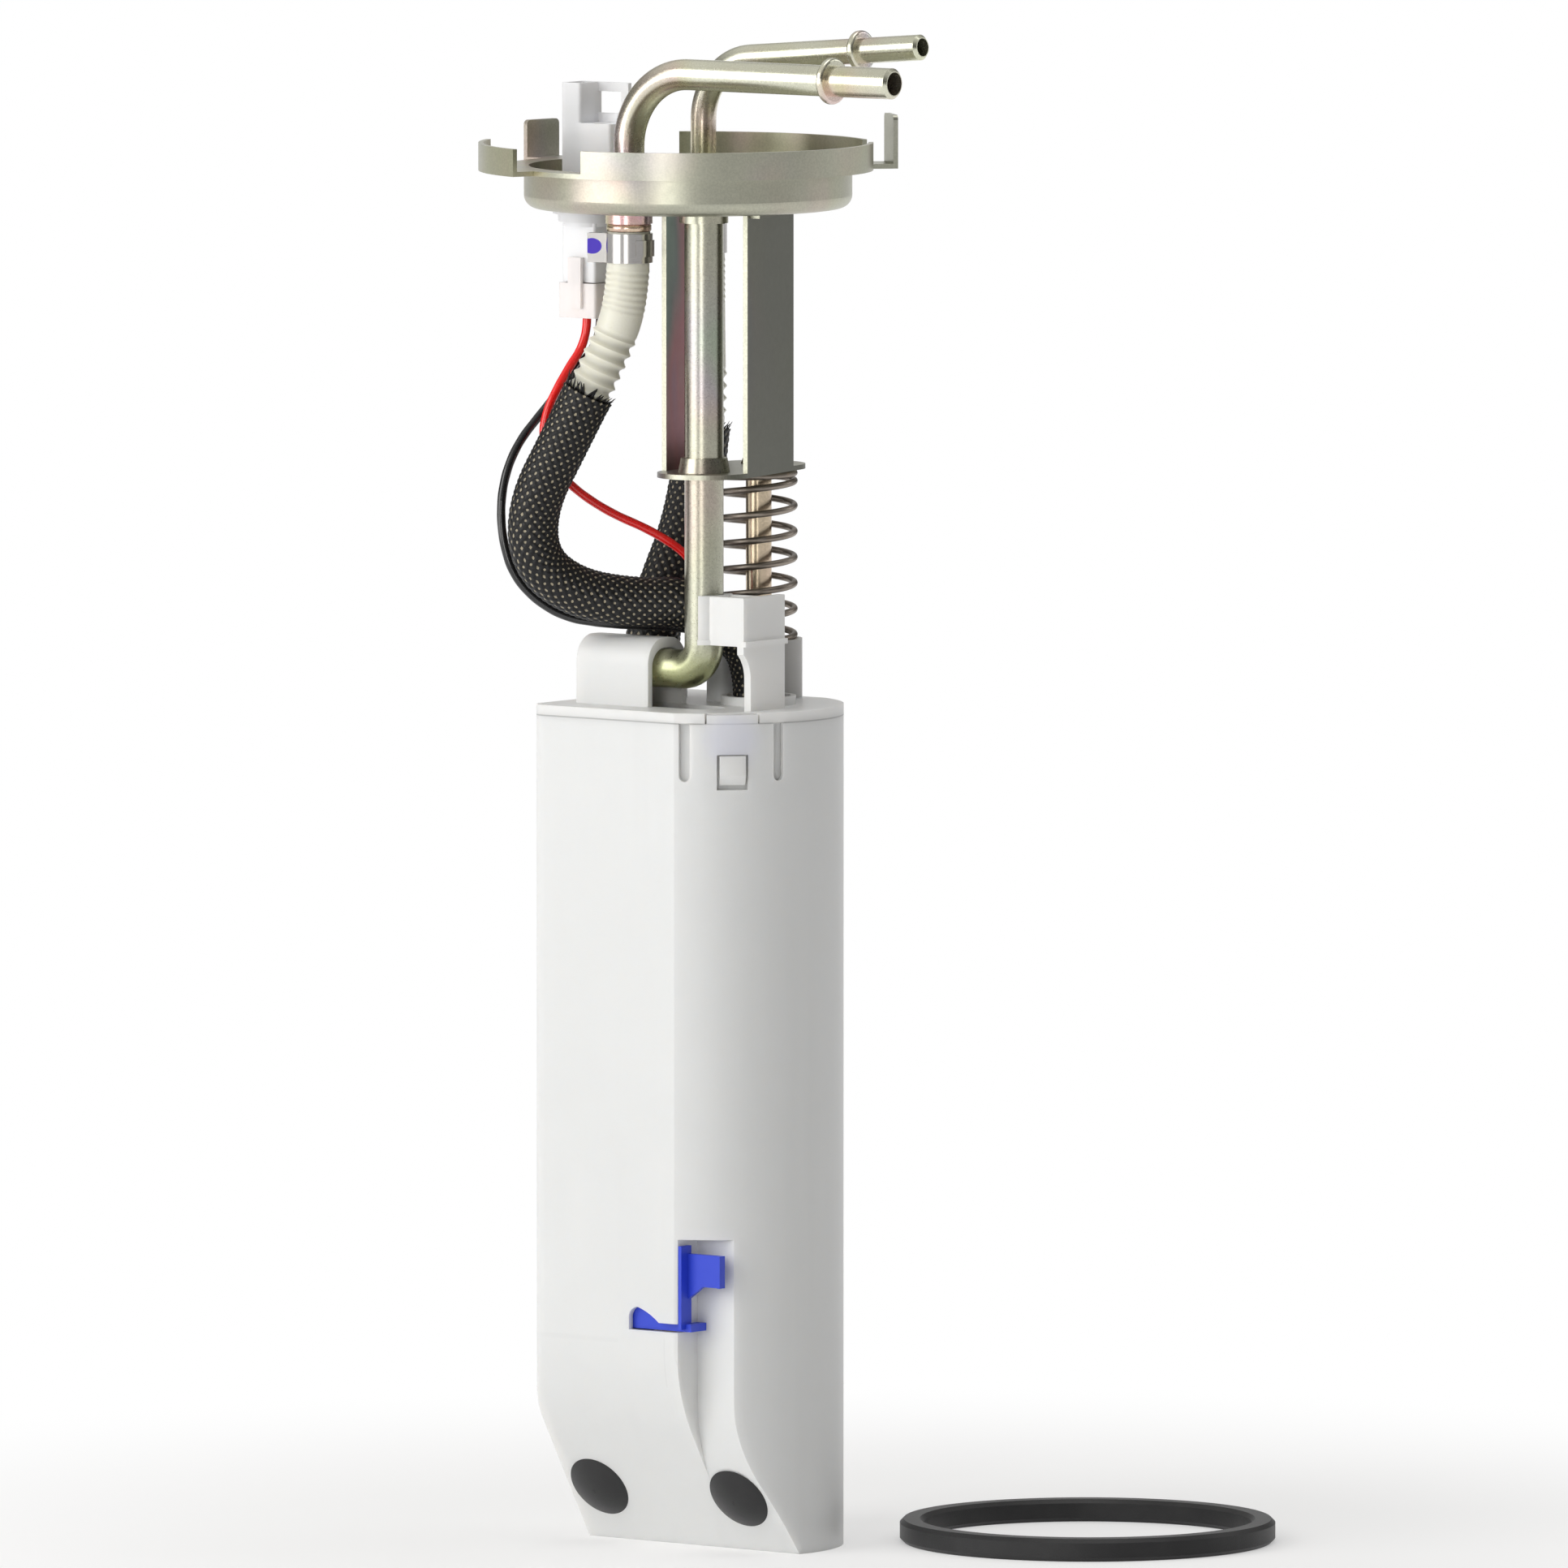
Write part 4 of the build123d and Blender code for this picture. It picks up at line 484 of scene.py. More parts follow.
def bracket_zinc(colour):
    """The bracket's plating, with painted shade on the faces that turn to the right: dark grey-green on the
    right plate's outer face, and dark with the plating's red, violet and green films on the left plate's
    inner face.
    """
    made = passivated("bracket_zinc", colour, 0.62, 0.35, 0.38)
    base = made.base()
    x, y = made.axes()[:2]
    sideways = (0.970, 0.243, 0.0)
    forwards = (0.243, -0.970, 0.0)
    face = made.node("ShaderNodeNewGeometry").outputs["True Normal"]
    # Painted shade: faces that turn to the right are darkened.
    right_face_shade_mask = made.steps(made.dot(face, sideways), 0.6, 0.9)
    left = 1.0 - made.steps(x * sideways[0] + y * sideways[1], 0.008, 0.012)
    wave = made.noise(34.0, 2.0, (1.0, 1.0, 0.35)) + (x * forwards[0] + y * forwards[1]) * 9.0
    film = made.ramp(wave, [
        (0.10, (0.10, 0.16, 0.13)), (0.34, (0.13, 0.22, 0.17)), (0.46, (0.15, 0.11, 0.20)),
        (0.58, (0.30, 0.10, 0.12)), (0.72, (0.12, 0.15, 0.14)), (0.86, (0.16, 0.26, 0.20))])
    # The left plate's inner face: the plating's own red, violet and green films, made dark as painted shade.
    base = made.mix(right_face_shade_mask * left * 0.85, base, film)
    # The right plate's outer face: a dark grey-green painted shade.
    outer_face_shade = made.tint((0.085, 0.088, 0.074), 0.85 + 0.3 * wave)
    base = made.mix(right_face_shade_mask * (1.0 - left) * 0.8, base, outer_face_shade)
    cut = made.steps(abs(made.dot(face, forwards)), 0.8, 0.95)
    base = made.mix(cut * 0.7, base, made.tint(shade(colour, 1.2), 0.7 + 0.6 * made.noise(1400.0, 3.0)))
    return made.set(Base_Color=base)


def bright_steel(colour):
    """Stainless strip with drawing lines, and a violet ink spot on the clamp's ear."""
    made = Finish("bright_steel")
    lines = made.noise(900.0, 3.0, (0.12, 0.12, 2.4))
    cloud = made.noise(90.0, 2.0)
    x, y, z = made.axes()
    base = made.mix(cloud, shade(colour, 0.80), shade(colour, 1.12))
    base = made.tint(base, 0.94 + 0.12 * lines)
    ink_x, ink_y, ink_z = -0.0150, -0.0276, 0.4015
    near = made.sum("SQRT", ((x - ink_x) ** 2.0 + (y - ink_y) ** 2.0) * 0.6 + (z - ink_z) ** 2.0)
    ring = made.band(near, 0.0019, 0.0006, 0.0005) + 0.35 * made.band(near, 0.0012, 0.0006, 0.0005)
    spot = made.steps(ring + 0.5 * (made.noise(700.0, 3.0) - 0.5), 0.35, 0.65)
    base = made.mix(spot, base, (0.05, 0.02, 0.42))
    made.set(Base_Color=base, Metallic=1.0 - 0.7 * spot, Roughness=0.17 + 0.10 * lines + 0.2 * spot)
    return made.relief(lines, 0.000008)


def spring_steel(colour):
    """Drawn wire, oiled, brownish where the oil is thick."""
    made = Finish("spring_steel")
    cloud = made.noise(120.0, 3.0)
    grain = made.noise(3000.0, 2.0)
    base = made.mix(made.steps(cloud, 0.35, 0.7), shade(colour, 0.75), shade(colour, 1.25))
    base = made.mix(made.steps(made.noise(260.0, 3.0), 0.55, 0.75) * 0.5, base, (0.30, 0.22, 0.15))
    made.set(Base_Color=base, Metallic=0.92, Roughness=0.27 + 0.16 * grain + 0.08 * cloud)
    return made.relief(grain, 0.00004)


def hose_plastic(colour):
    """Cream fuel hose that lets light through, with painted shade in its grooves."""
    made = Finish("hose_plastic")
    cloud = made.noise(90.0, 3.0)
    groove = made.stored("groove")
    base = made.mix(cloud, shade(colour, 0.92), shade(colour, 1.04))
    # Painted shade: the hose is greyed in its grooves.
    base = made.mix(groove * 0.55, base, shade(colour, 0.68))
    base = made.mix(made.steps(made.noise(500.0, 3.0), 0.62, 0.8) * 0.2, base, (0.66, 0.60, 0.44))
    made.set(Base_Color=base, Roughness=0.26 + 0.14 * cloud, Subsurface_Weight=0.30,
             Subsurface_Radius=(0.004, 0.0037, 0.0026), Subsurface_Scale=1.0, IOR=1.48)
    return made.relief(made.noise(1500.0, 3.0), 0.00005)


def braid_weave(colour, shaded_gap_colour):
    """Glossy black strands with the hose's colour painted in the small gaps between them, darkened as painted
    shade.
    """
    made = Finish("braid_weave")
    gap = made.stored("gap")
    grain = made.noise(1900.0, 3.0)
    strand = made.mix(made.steps(grain, 0.35, 0.75), shade(colour, 0.6), shade(colour, 1.5))
    # The hose's colour in the gaps, painted darker as the shade under the strands.
    pale = made.mix(made.noise(500.0, 2.0), shade(shaded_gap_colour, 0.55), shade(shaded_gap_colour, 1.25))
    base = made.mix(made.steps(gap, 0.27, 0.40), strand, pale)
    made.set(Base_Color=base, Roughness=0.30 + 0.25 * grain, Specular_IOR_Level=0.3)
    return made.relief(grain, 0.00010)


def insulation(name, colour):
    """Smooth glossy wire insulation with a few scuffs."""
    made = Finish(name)
    cloud = made.noise(150.0, 3.0)
    scuff = made.steps(made.noise(1300.0, 4.0), 0.66, 0.78)
    base = made.mix(cloud, shade(colour, 0.85), shade(colour, 1.12))
    base = made.mix(scuff * 0.35, base, shade(colour, 0.35))
    made.set(Base_Color=base, Roughness=0.20 + 0.12 * cloud + 0.2 * scuff, Coat_Weight=0.35 + 0.2 * cloud)
    return made.relief(made.noise(1700.0, 2.0), 0.00003)


def rubber(name, colour, bloom, roughness=0.50):
    """Matt black rubber with a fine skin, a grey bloom and dust."""
    made = Finish(name)
    cloud = made.noise(70.0, 4.0)
    skin = made.noise(2400.0, 3.0)
    dust = made.steps(made.noise(1700.0, 2.0), 0.72, 0.82)
    base = made.mix(made.steps(cloud, 0.35, 0.8) * bloom, colour, (0.12, 0.12, 0.12))
    base = made.mix(dust * 0.12, base, (0.22, 0.22, 0.21))
    made.set(Base_Color=base, Roughness=roughness - 0.05 + 0.18 * skin)
    return made.relief(skin + 0.5 * cloud, 0.00006)


def worn_metal(name, colour, roughness, dark):
    """A plain metal with turning marks, stains and scratches, for the motor and the terminals."""
    made = Finish(name)
    lines = made.noise(1500.0, 3.0, (0.2, 0.2, 2.0))
    stain = made.noise(130.0, 4.0)
    base = made.mix(made.steps(stain, 0.4, 0.75), colour, shade(colour, dark))
    base = made.tint(base, 0.88 + 0.24 * lines)
    made.set(Base_Color=base, Metallic=0.95, Roughness=roughness + 0.16 * lines + 0.12 * stain)
    return made.relief(lines, 0.00004)


def pressed_powder(name, colour):
    """Sintered carbon or ferrite, with a sandy face."""
    made = Finish(name)
    grain = made.noise(3000.0, 3.0)
    pores = made.cells(1800.0)
    base = made.mix(grain, shade(colour, 0.75), shade(colour, 1.4))
    made.set(Base_Color=base, Roughness=0.5 + 0.3 * grain)
    return made.relief(grain + 0.5 * pores, 0.00008)


def filter_mesh(name, colour):
    """Fine nylon gauze, drawn as two crossed sets of threads."""
    made = Finish(name)
    x, y, z = made.axes()
    threads = 9000.0
    warp = made.sum("SINE", x * threads)
    weft = made.sum("SINE", (y + z) * threads)
    hole = made.steps((warp + weft) * 0.5, 0.1, 0.6)
    base = made.mix(hole, colour, shade(colour, 0.45))
    base = made.mix(made.steps(made.noise(160.0, 3.0), 0.5, 0.75) * 0.3, base, (0.55, 0.50, 0.38))
    made.set(Base_Color=base, Roughness=0.45 + 0.25 * hole)
    return made.relief(1.0 - hole, 0.00012)


def dress(finish, *nodes):
    """Gives a finish to solids that stay as they are."""
    for name in nodes:
        solid = frame["nodes"][name]
        if not solid.material_slots:
            solid.data.materials.append(finish.material)
        for slot in solid.material_slots:
            slot.material = finish.material


def smooth_line(name, route):
    """Points read from the smooth spline that a route controls."""
    data = bpy.data.curves.new(name + "_line", "CURVE")
    data.dimensions = "3D"
    data.resolution_u = 24
    spline = data.splines.new("NURBS")
    spline.points.add(len(route) - 1)
    for point, place in zip(spline.points, route):
        point.co = (*place, 1.0)
    spline.order_u = 3
    spline.use_endpoint_u = True
    holder = bpy.data.objects.new(name + "_line", data)
    mesh = bpy.data.meshes.new_from_object(holder)
    places = np.array([vertex.co[:] for vertex in mesh.vertices])
    bpy.data.meshes.remove(mesh)
    bpy.data.objects.remove(holder)
    bpy.data.curves.remove(data)
    if len(places) < 3:
        raise RuntimeError(f"{name}: the route gave no line")
    return places


def evenly(places, spacing, start=0.0, end=None):
    """The same line with its points a fixed distance apart, between two distances along it."""
    runs = np.linalg.norm(np.diff(places, axis=0), axis=1)
    along = np.concatenate([[0.0], np.cumsum(runs)])
    end = along[-1] if end is None else end
    count = max(3, int(round((end - start) / spacing)) + 1)
    wanted = np.linspace(start, end, count)
    return np.stack([np.interp(wanted, along, places[:, axis]) for axis in range(3)], axis=1), wanted


def line_length(places):
    """The length of a line of points."""
    return float(np.linalg.norm(np.diff(places, axis=0), axis=1).sum())


def distance_at_height(places, height):
    """How far along a falling line its height first drops to a value."""
    index = int(np.argmax(places[:, 2] <= height))
    return line_length(places[:index + 1])


def across(places):
    """Two directions across a line at each of its points, turning as little as they can."""
    heading = np.gradient(places, axis=0)
    heading /= np.linalg.norm(heading, axis=1)[:, None]
    along_no_line = (0.31, 0.87, 0.13)
    side = np.cross(heading[0], along_no_line)
    sides = []
    for direction in heading:
        side = side - direction * np.dot(side, direction)
        side = side / np.linalg.norm(side)
        sides.append(side)
    sides = np.array(sides)
    return sides, np.cross(heading, sides)


def new_piece(name, points, faces, finish, body=None, slot=None):
    """A smooth-shaded mesh object that rides on a body."""
    mesh = bpy.data.meshes.new(name)
    mesh.from_pydata([tuple(point) for point in points], [], faces)
    mesh.validate()
    mesh.polygons.foreach_set("use_smooth", [True] * len(mesh.polygons))
    mesh.set_sharp_from_angle(angle=SHARP_ANGLE)
    mesh.materials.append(finish.material)
    piece = bpy.data.objects.new(name, mesh)
    bpy.context.scene.collection.objects.link(piece)
    if body:
        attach(piece, body)
    return piece


def ring_faces(rows, around, closed=False):
    """Quads between neighbouring rows of points round a tube."""
    faces = []
    for row in range(rows if closed else rows - 1):
        low, high = row * around, (row + 1) % rows * around
        for step in range(around):
            after = (step + 1) % around
            faces.append((low + step, low + after, high + after, high + step))
    return faces


def swept(name, places, radii, finish, bore=None, **where):
    """A rod along a line, or a tube if it has a bore. radii has a row for each place along the line."""
    rows, around = radii.shape
    sides, ups = across(places)
    turn = np.arange(around) * 2 * math.pi / around
    ring = np.cos(turn)[None, :, None] * sides[:, None, :] + np.sin(turn)[None, :, None] * ups[:, None, :]
    points = (places[:, None, :] + radii[:, :, None] * ring).reshape(-1, 3)
    if bore is None:
        faces = ring_faces(rows, around)
        faces.append(tuple(range(around))[::-1])
        faces.append(tuple((rows - 1) * around + step for step in range(around)))
        return new_piece(name, points, faces, finish, **where)
    keep = list(range(rows - 1, -1, -BORE_ROW_STEP))
    keep = keep if keep[-1] == 0 else keep + [0]
    inside = (places[keep, None, :] + bore * ring[keep]).reshape(-1, 3)
    faces = ring_faces(rows + len(keep), around, True)
    return new_piece(name, np.concatenate([points, inside]), faces, finish, **where)


def store(piece, name, values):
    """Keeps a number at each point of a mesh for its finish."""
    held = np.zeros(len(piece.data.vertices))
    held[:len(values)] = values
    piece.data.attributes.new(name, "FLOAT", "POINT").data.foreach_set("value", held)


def turned(name, at, outline, finish, **where):
    """A ring turned about an upright line from its closed outline of (radius, height) points."""
    points = []
    for radius, height in outline:
        for angle in np.arange(RING_AROUND) * 2 * math.pi / RING_AROUND:
            points.append((at[0] + radius * math.cos(angle), at[1] + radius * math.sin(angle), height))
    return new_piece(name, points, ring_faces(len(outline), RING_AROUND, True), finish, **where)


class PumpOperator:
    """What all of the operators share."""

    bl_options = {"REGISTER", "UNDO"}

    @property
    def sizes(self):
        return bpy.context.scene.pump_sizes

    @property
    def colours(self):
        return bpy.context.scene.pump_colours


def hose_profile(sizes, distance, rings):
    """The hose's radius along its length, and how deep in a groove it is there.

    It is pinched under the clamp, then finely ringed, and then has its large rings.
    """
    radius = np.full(len(distance), sizes.hose_radius)
    radius -= CLAMP_PINCH * np.exp(-((distance - CLAMP_AT) / CLAMP_REACH) ** 4)
    fine = (distance > FINE_RINGS[0]) & (distance < FINE_RINGS[1])
    fine_wave = np.sin(distance * 2 * math.pi / FINE_PITCH)
    radius += np.where(fine, FINE_HEIGHT * fine_wave, 0.0)
    start, end = rings
    window = np.clip((distance - start) / RING_FADE, 0, 1) * np.clip((end - distance) / RING_FADE, 0, 1)
    wave = np.abs(np.cos((distance - start) * math.pi / sizes.ring_pitch)) ** GROOVE_SHARPNESS
    radius += window * (RING_RISE - sizes.ring_height * GROOVE_SHARE * wave)
    groove = window * wave + np.where(fine, 0.25 * (1 - fine_wave), 0.0)
    return radius, np.clip(groove, 0, 1)


class PUMP_OT_hoses(PumpOperator, bpy.types.Operator):
    """Make the feed and return hoses and their braided sleeves"""

    bl_idname = "pump.hoses"
    bl_label = "Hoses and sleeves"

    def execute(self, context):
        sizes = self.sizes
        hose = hose_plastic(self.colours.hose)
        weave = braid_weave(self.colours.braid, self.colours.braid_gap)
        for name, (route, length, cut_height, rings) in HOSES.items():
            line = smooth_line(name, route)
            places, distance = evenly(line, HOSE_STEP)
            profile, groove = hose_profile(sizes, distance, rings)
            radii = np.repeat(profile[:, None], HOSE_AROUND, axis=1)
            tube = swept(name + "_hose_ringed", places, radii, hose, sizes.hose_bore, slot="hose_cream")
            store(tube, "groove", np.repeat(groove, HOSE_AROUND))
            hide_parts(name + "_hose")
            radius = getattr(sizes, name + "_sleeve_radius")
            sleeve = self.make_sleeve(name, line, distance_at_height(line, cut_height), radius, weave)
            for piece in (tube, sleeve):
                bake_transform(piece)
        return {"FINISHED"}

    def make_sleeve(self, name, line, start, radius, weave):
        """Two sets of strands that cross over and under each other, frayed at the cut end."""
        sizes = self.sizes
        places, distance = evenly(line, SLEEVE_STEP, start, line_length(line) - SLEEVE_END_GAP)
        strands = sizes.braid_strands
        around = strands * STRAND_STEPS
        turn = np.arange(around) * 2 * math.pi / around
        pitch = 2 * math.pi * radius / strands
        first = strands * turn[None, :] / (2 * math.pi) + distance[:, None] / pitch
        second = strands * turn[None, :] / (2 * math.pi) - distance[:, None] / pitch
        flat_first = 1 - np.abs(2 * (first % 1.0) - 1) ** STRAND_FLATNESS
        flat_second = 1 - np.abs(2 * (second % 1.0) - 1) ** STRAND_FLATNESS
        over = CROSSING_LIFT * np.sin(math.pi * first) * np.sin(math.pi * second)
        lift = np.maximum(flat_first * (CROSSING_MIDDLE + over), flat_second * (CROSSING_MIDDLE - over))
        gap = 1 - np.maximum(flat_first, flat_second)
        flare = SLEEVE_FLARE * np.exp(-(distance - start) / SLEEVE_FLARE_REACH)[:, None]
        radii = radius - sizes.braid_relief * (1 - lift) + flare
        tube = swept(name + "_sleeve_braid", places, radii, weave, sizes.hose_radius + SLEEVE_GAP,
                     slot="sleeve_black")
        store(tube, "gap", gap.reshape(-1))
        self.add_frays(tube, places, radius)
        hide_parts(name + "_sleeve")
        return tube

    def add_frays(self, tube, places, radius):
        """Loose strand ends that stand out of the sleeve's cut end, as part of its mesh."""
        dice = random.Random(11)
        sides, ups = across(places)
        back = places[0] - places[6]
        back = back / np.linalg.norm(back)
        mesh = tube.data
        points = []
        faces = []
        for number in range(FRAY_COUNT):
            angle = 2 * math.pi * (number + dice.uniform(-0.4, 0.4)) / FRAY_COUNT
            out = math.cos(angle) * sides[0] + math.sin(angle) * ups[0]
            aside = np.cross(back, out)
            root = places[0] + out * (radius - FRAY_BOW) - back * FRAY_ROOT
            reach = dice.uniform(*FRAY_REACH) + 0.0010 * (1 + math.cos(angle - 2.0))
            lean = dice.uniform(-0.5, 0.5)
            base = len(points)
            for along, thickness in ((0.0, 1.0), (0.5, 0.8), (1.0, 0.25)):
                bow = out * FRAY_BOW * (along + along ** 2)
                middle = root + back * (FRAY_ROOT + reach * along) + bow + aside * lean * reach * along
                for step in range(4):
                    spin = step * math.pi / 2
                    flat = FRAY_HALF_THICK * math.cos(spin) * out + FRAY_HALF_WIDE * math.sin(spin) * aside
                    points.append(middle + thickness * flat)
            faces += [tuple(base + corner for corner in face) for face in ring_faces(3, 4)]
            faces.append((base + 3, base + 2, base + 1, base))
            faces.append((base + 8, base + 9, base + 10, base + 11))
        held = [vertex.co[:] for vertex in mesh.vertices]
        gaps = np.zeros(len(held))
        mesh.attributes["gap"].data.foreach_get("value", gaps)
        loops = [tuple(face.vertices) for face in mesh.polygons]
        loops += [tuple(len(held) + corner for corner in face) for face in faces]
        mesh.clear_geometry()
        mesh.from_pydata(held + [tuple(point) for point in points], [], loops)
        mesh.polygons.foreach_set("use_smooth", [True] * len(mesh.polygons))
        if "gap" in mesh.attributes:
            mesh.attributes.remove(mesh.attributes["gap"])
        store(tube, "gap", gaps)


class PUMP_OT_leads(PumpOperator, bpy.types.Operator):
    """Make the red and black leads"""

    bl_idname = "pump.leads"
    bl_label = "Leads"

    def execute(self, context):
        radius = self.sizes.wire_radius
        for name, (route, length) in LEADS.items():
            places, distance = evenly(smooth_line(name, route), LEAD_STEP)
            waves = LEAD_WAVINESS * np.sin(distance * 900)
            radii = np.full((len(places), LEAD_AROUND), radius) + waves[:, None]
            finish = insulation(name + "_insulation", getattr(self.colours, name))
            lead = swept(name + "_lead_wire", places, radii, finish, slot="wire_" + name)
            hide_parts(name + "_lead")
            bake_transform(lead)
        return {"FINISHED"}


def frame_joint(name):
    """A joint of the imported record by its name."""
    for joint in frame["joints"]:
        if joint["name"] == name:
            return joint
    raise RuntimeError(f"the record has no joint {name}")


def wound(name, middle, low, high, radius, wire, turns, finish):
    """A coil spring between two heights, with its end turns closed and its pitch changing smoothly."""
    bottom, top = low + wire / 2, high - wire / 2
    turn = np.linspace(0, turns, turns * TURN_STEPS + 1)
    closed = wire * 1.08
    open_pitch = (top - bottom - 2 * closed) / (turns - 2)
    height = np.where(turn < 1, turn * closed,
                      np.where(turn > turns - 1, top - bottom - (turns - turn) * closed,
                               closed + (turn - 1) * open_pitch))
    reach = 12
    before = 2 * height[0] - height[reach:0:-1]
    after = 2 * height[-1] - height[-2:-2 - reach:-1]
    width = np.ones(2 * reach + 1) / (2 * reach + 1)
    height = np.convolve(np.concatenate([before, height, after]), width, "valid")
    wire_end = 0.6
    angle = turn * 2 * math.pi + wire_end
    places = np.stack([middle.x + radius * np.cos(angle), middle.y + radius * np.sin(angle), bottom + height],
                      axis=1)
    radii = np.full((len(places), WIRE_AROUND), wire / 2)
    return swept(name, places, radii, finish, slot="steel_spring")


class PUMP_OT_spring(PumpOperator, bpy.types.Operator):
    """Wind the main spring and the check valve's spring with their closed end turns"""

    bl_idname = "pump.spring"
    bl_label = "Springs"

    def execute(self, context):
        sizes = self.sizes
        oiled = spring_steel(self.colours.spring)
        low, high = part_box("main_spring")
        main = wound("main_spring_coil", ROD_AT, low.z, high.z, sizes.spring_radius, sizes.spring_wire,
                     sizes.spring_turns, oiled)
        self.press(main, "main_spring", "flange_slide", Vector((ROD_AT.x, ROD_AT.y, low.z)), high.z - low.z)
        low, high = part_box("check_spring")
        middle = (low + high) / 2
        radius = (high.x - low.x - sizes.check_wire) / 2
        check = wound("check_spring_coil", middle, low.z, high.z, radius, sizes.check_wire, sizes.check_turns,
                      oiled)
        self.press(check, "check_spring", "check_lift", Vector((middle.x, middle.y, high.z)), high.z - low.z)
        return {"FINISHED"}

    def press(self, spring, node, joint, anchor, length):
        """Stands a spring in for its node, riding on the reservoir's body, and gives it its own mesh."""
        travel = max(abs(limit) for limit in frame_joint(joint)["range_m"])
        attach(spring, "reservoir")
        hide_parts(node)
        1 - travel / length
        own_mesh(spring)


class PUMP_OT_flange(PumpOperator, bpy.types.Operator):
    """Finish the flange, pipes, bracket, guide tube and rod, and add the seat rings under the flange"""

    bl_idname = "pump.flange"
    bl_label = "Flange and hanger"

    def execute(self, context):
        zinc = self.colours.zinc
        dress(passivated("flange_zinc", zinc, 0.84, 0.40, 0.33, 0.000008, 0.16), "flange_pan")
        dress(passivated("pipe_zinc", shade(zinc, 1.35), 1.0, 1.0, 0.24, 0.000004, 0.1),
              "feed_pipe", "return_pipe")
        dress(guide_zinc(zinc), "guide_tube")
        dress(passivated("rod_zinc", (0.70, 0.58, 0.42), 0.95, 0.9, 0.22), "guide_rod")
        dress(bracket_zinc(zinc), "bracket")
        brass = passivated("seat_brass", (0.62, 0.55, 0.34), 1.0, 0.7, 0.24)
        edge = SEAT_RADIUS - 0.0003
        outline = [(SEAT_BORE, SEAT_LOW), (edge, SEAT_LOW), (SEAT_RADIUS, SEAT_LOW + SEAT_BEVEL),
                   (SEAT_RADIUS, SEAT_HIGH - SEAT_BEVEL), (edge, SEAT_HIGH), (SEAT_BORE, SEAT_HIGH)]
        for name, at in (("feed", FEED_AT), ("return", RETURN_AT)):
            turned(name + "_seat_ring", at, outline, brass, body="flange", slot="steel_zinc")
        return {"FINISHED"}


class PUMP_OT_clamps(PumpOperator, bpy.types.Operator):
    """Finish the two hose clamps"""

    bl_idname = "pump.clamps"
    bl_label = "Hose clamps"

    def execute(self, context):
        dress(bright_steel(shade(self.colours.stainless, 0.66)), "feed_clamp", "return_clamp")
        return {"FINISHED"}


class PUMP_OT_connector(PumpOperator, bpy.types.Operator):
    """Finish the electrical connector, its seal, its blades and the harness plug"""

    bl_idname = "pump.connector"
    bl_label = "Connector"

    def execute(self, context):
        clear = self.colours.clear
        dress(moulded("connector_plastic", clear, 0.28, 0.35), "connector")
        dress(moulded("grommet_silicone", shade(clear, 0.93), 0.40, 0.30), "connector_grommet")
        dress(moulded("plug_plastic", self.colours.plug, 0.34, 0.30), "harness_plug")
        dress(worn_metal("terminal_metal", (0.76, 0.68, 0.48), 0.22, 0.6), "connector_terminals")
        return {"FINISHED"}


class PUMP_OT_reservoir(PumpOperator, bpy.types.Operator):
    """Finish the reservoir and its lid"""

    bl_idname = "pump.reservoir"
    bl_label = "Reservoir and lid"

    def execute(self, context):
        plastic = self.colours.plastic
        dress(reservoir_plastic(plastic), "reservoir")
        dress(lid_plastic(plastic), "lid")
        return {"FINISHED"}


class PUMP_OT_latch(PumpOperator, bpy.types.Operator):
    """Finish the sliding lock"""

    bl_idname = "pump.latch"
    bl_label = "Sliding lock"

    def execute(self, context):
        dress(moulded("latch_plastic", self.colours.latch, 0.36, 0.02), "blue_latch")
        return {"FINISHED"}


class PUMP_OT_rubber(PumpOperator, bpy.types.Operator):
    """Finish the bumpers, the tank seal and the pump's rubber mounts"""

    bl_idname = "pump.rubber"
    bl_label = "Rubber pieces"

    def execute(self, context):
        colour = self.colours.rubber
        dress(rubber("bumper_rubber", colour, 0.05, 0.36), "bumpers")
        dress(rubber("seal_rubber", shade(colour, 0.9), 0.08, 0.42), "tank_seal")
        dress(rubber("mount_rubber", colour, 0.18), "upper_isolator", "lower_isolator", "inlet_valve",
              "check_poppet")
        return {"FINISHED"}


class PUMP_OT_fuel_path(PumpOperator, bpy.types.Operator):
    """Finish the fuel pieces inside the reservoir"""

    bl_idname = "pump.fuel_path"
    bl_label = "Fuel path"

    def execute(self, context):
        plastic = self.colours.plastic
        inner = moulded("inner_plastic", shade(plastic, 0.94), 0.42, 0.08)
        dress(inner, "feed_fitting", "return_fitting", "jet", "strainer_neck", "drop_pipe", "check_stop",
              "pump_holder", "pump_foot", "pump_plug")
        dress(moulded("inner_hose_plastic", self.colours.hose, 0.30, 0.25), "inner_hose")
        dress(filter_mesh("strainer_mesh", (0.78, 0.78, 0.72)), "strainer")
        return {"FINISHED"}


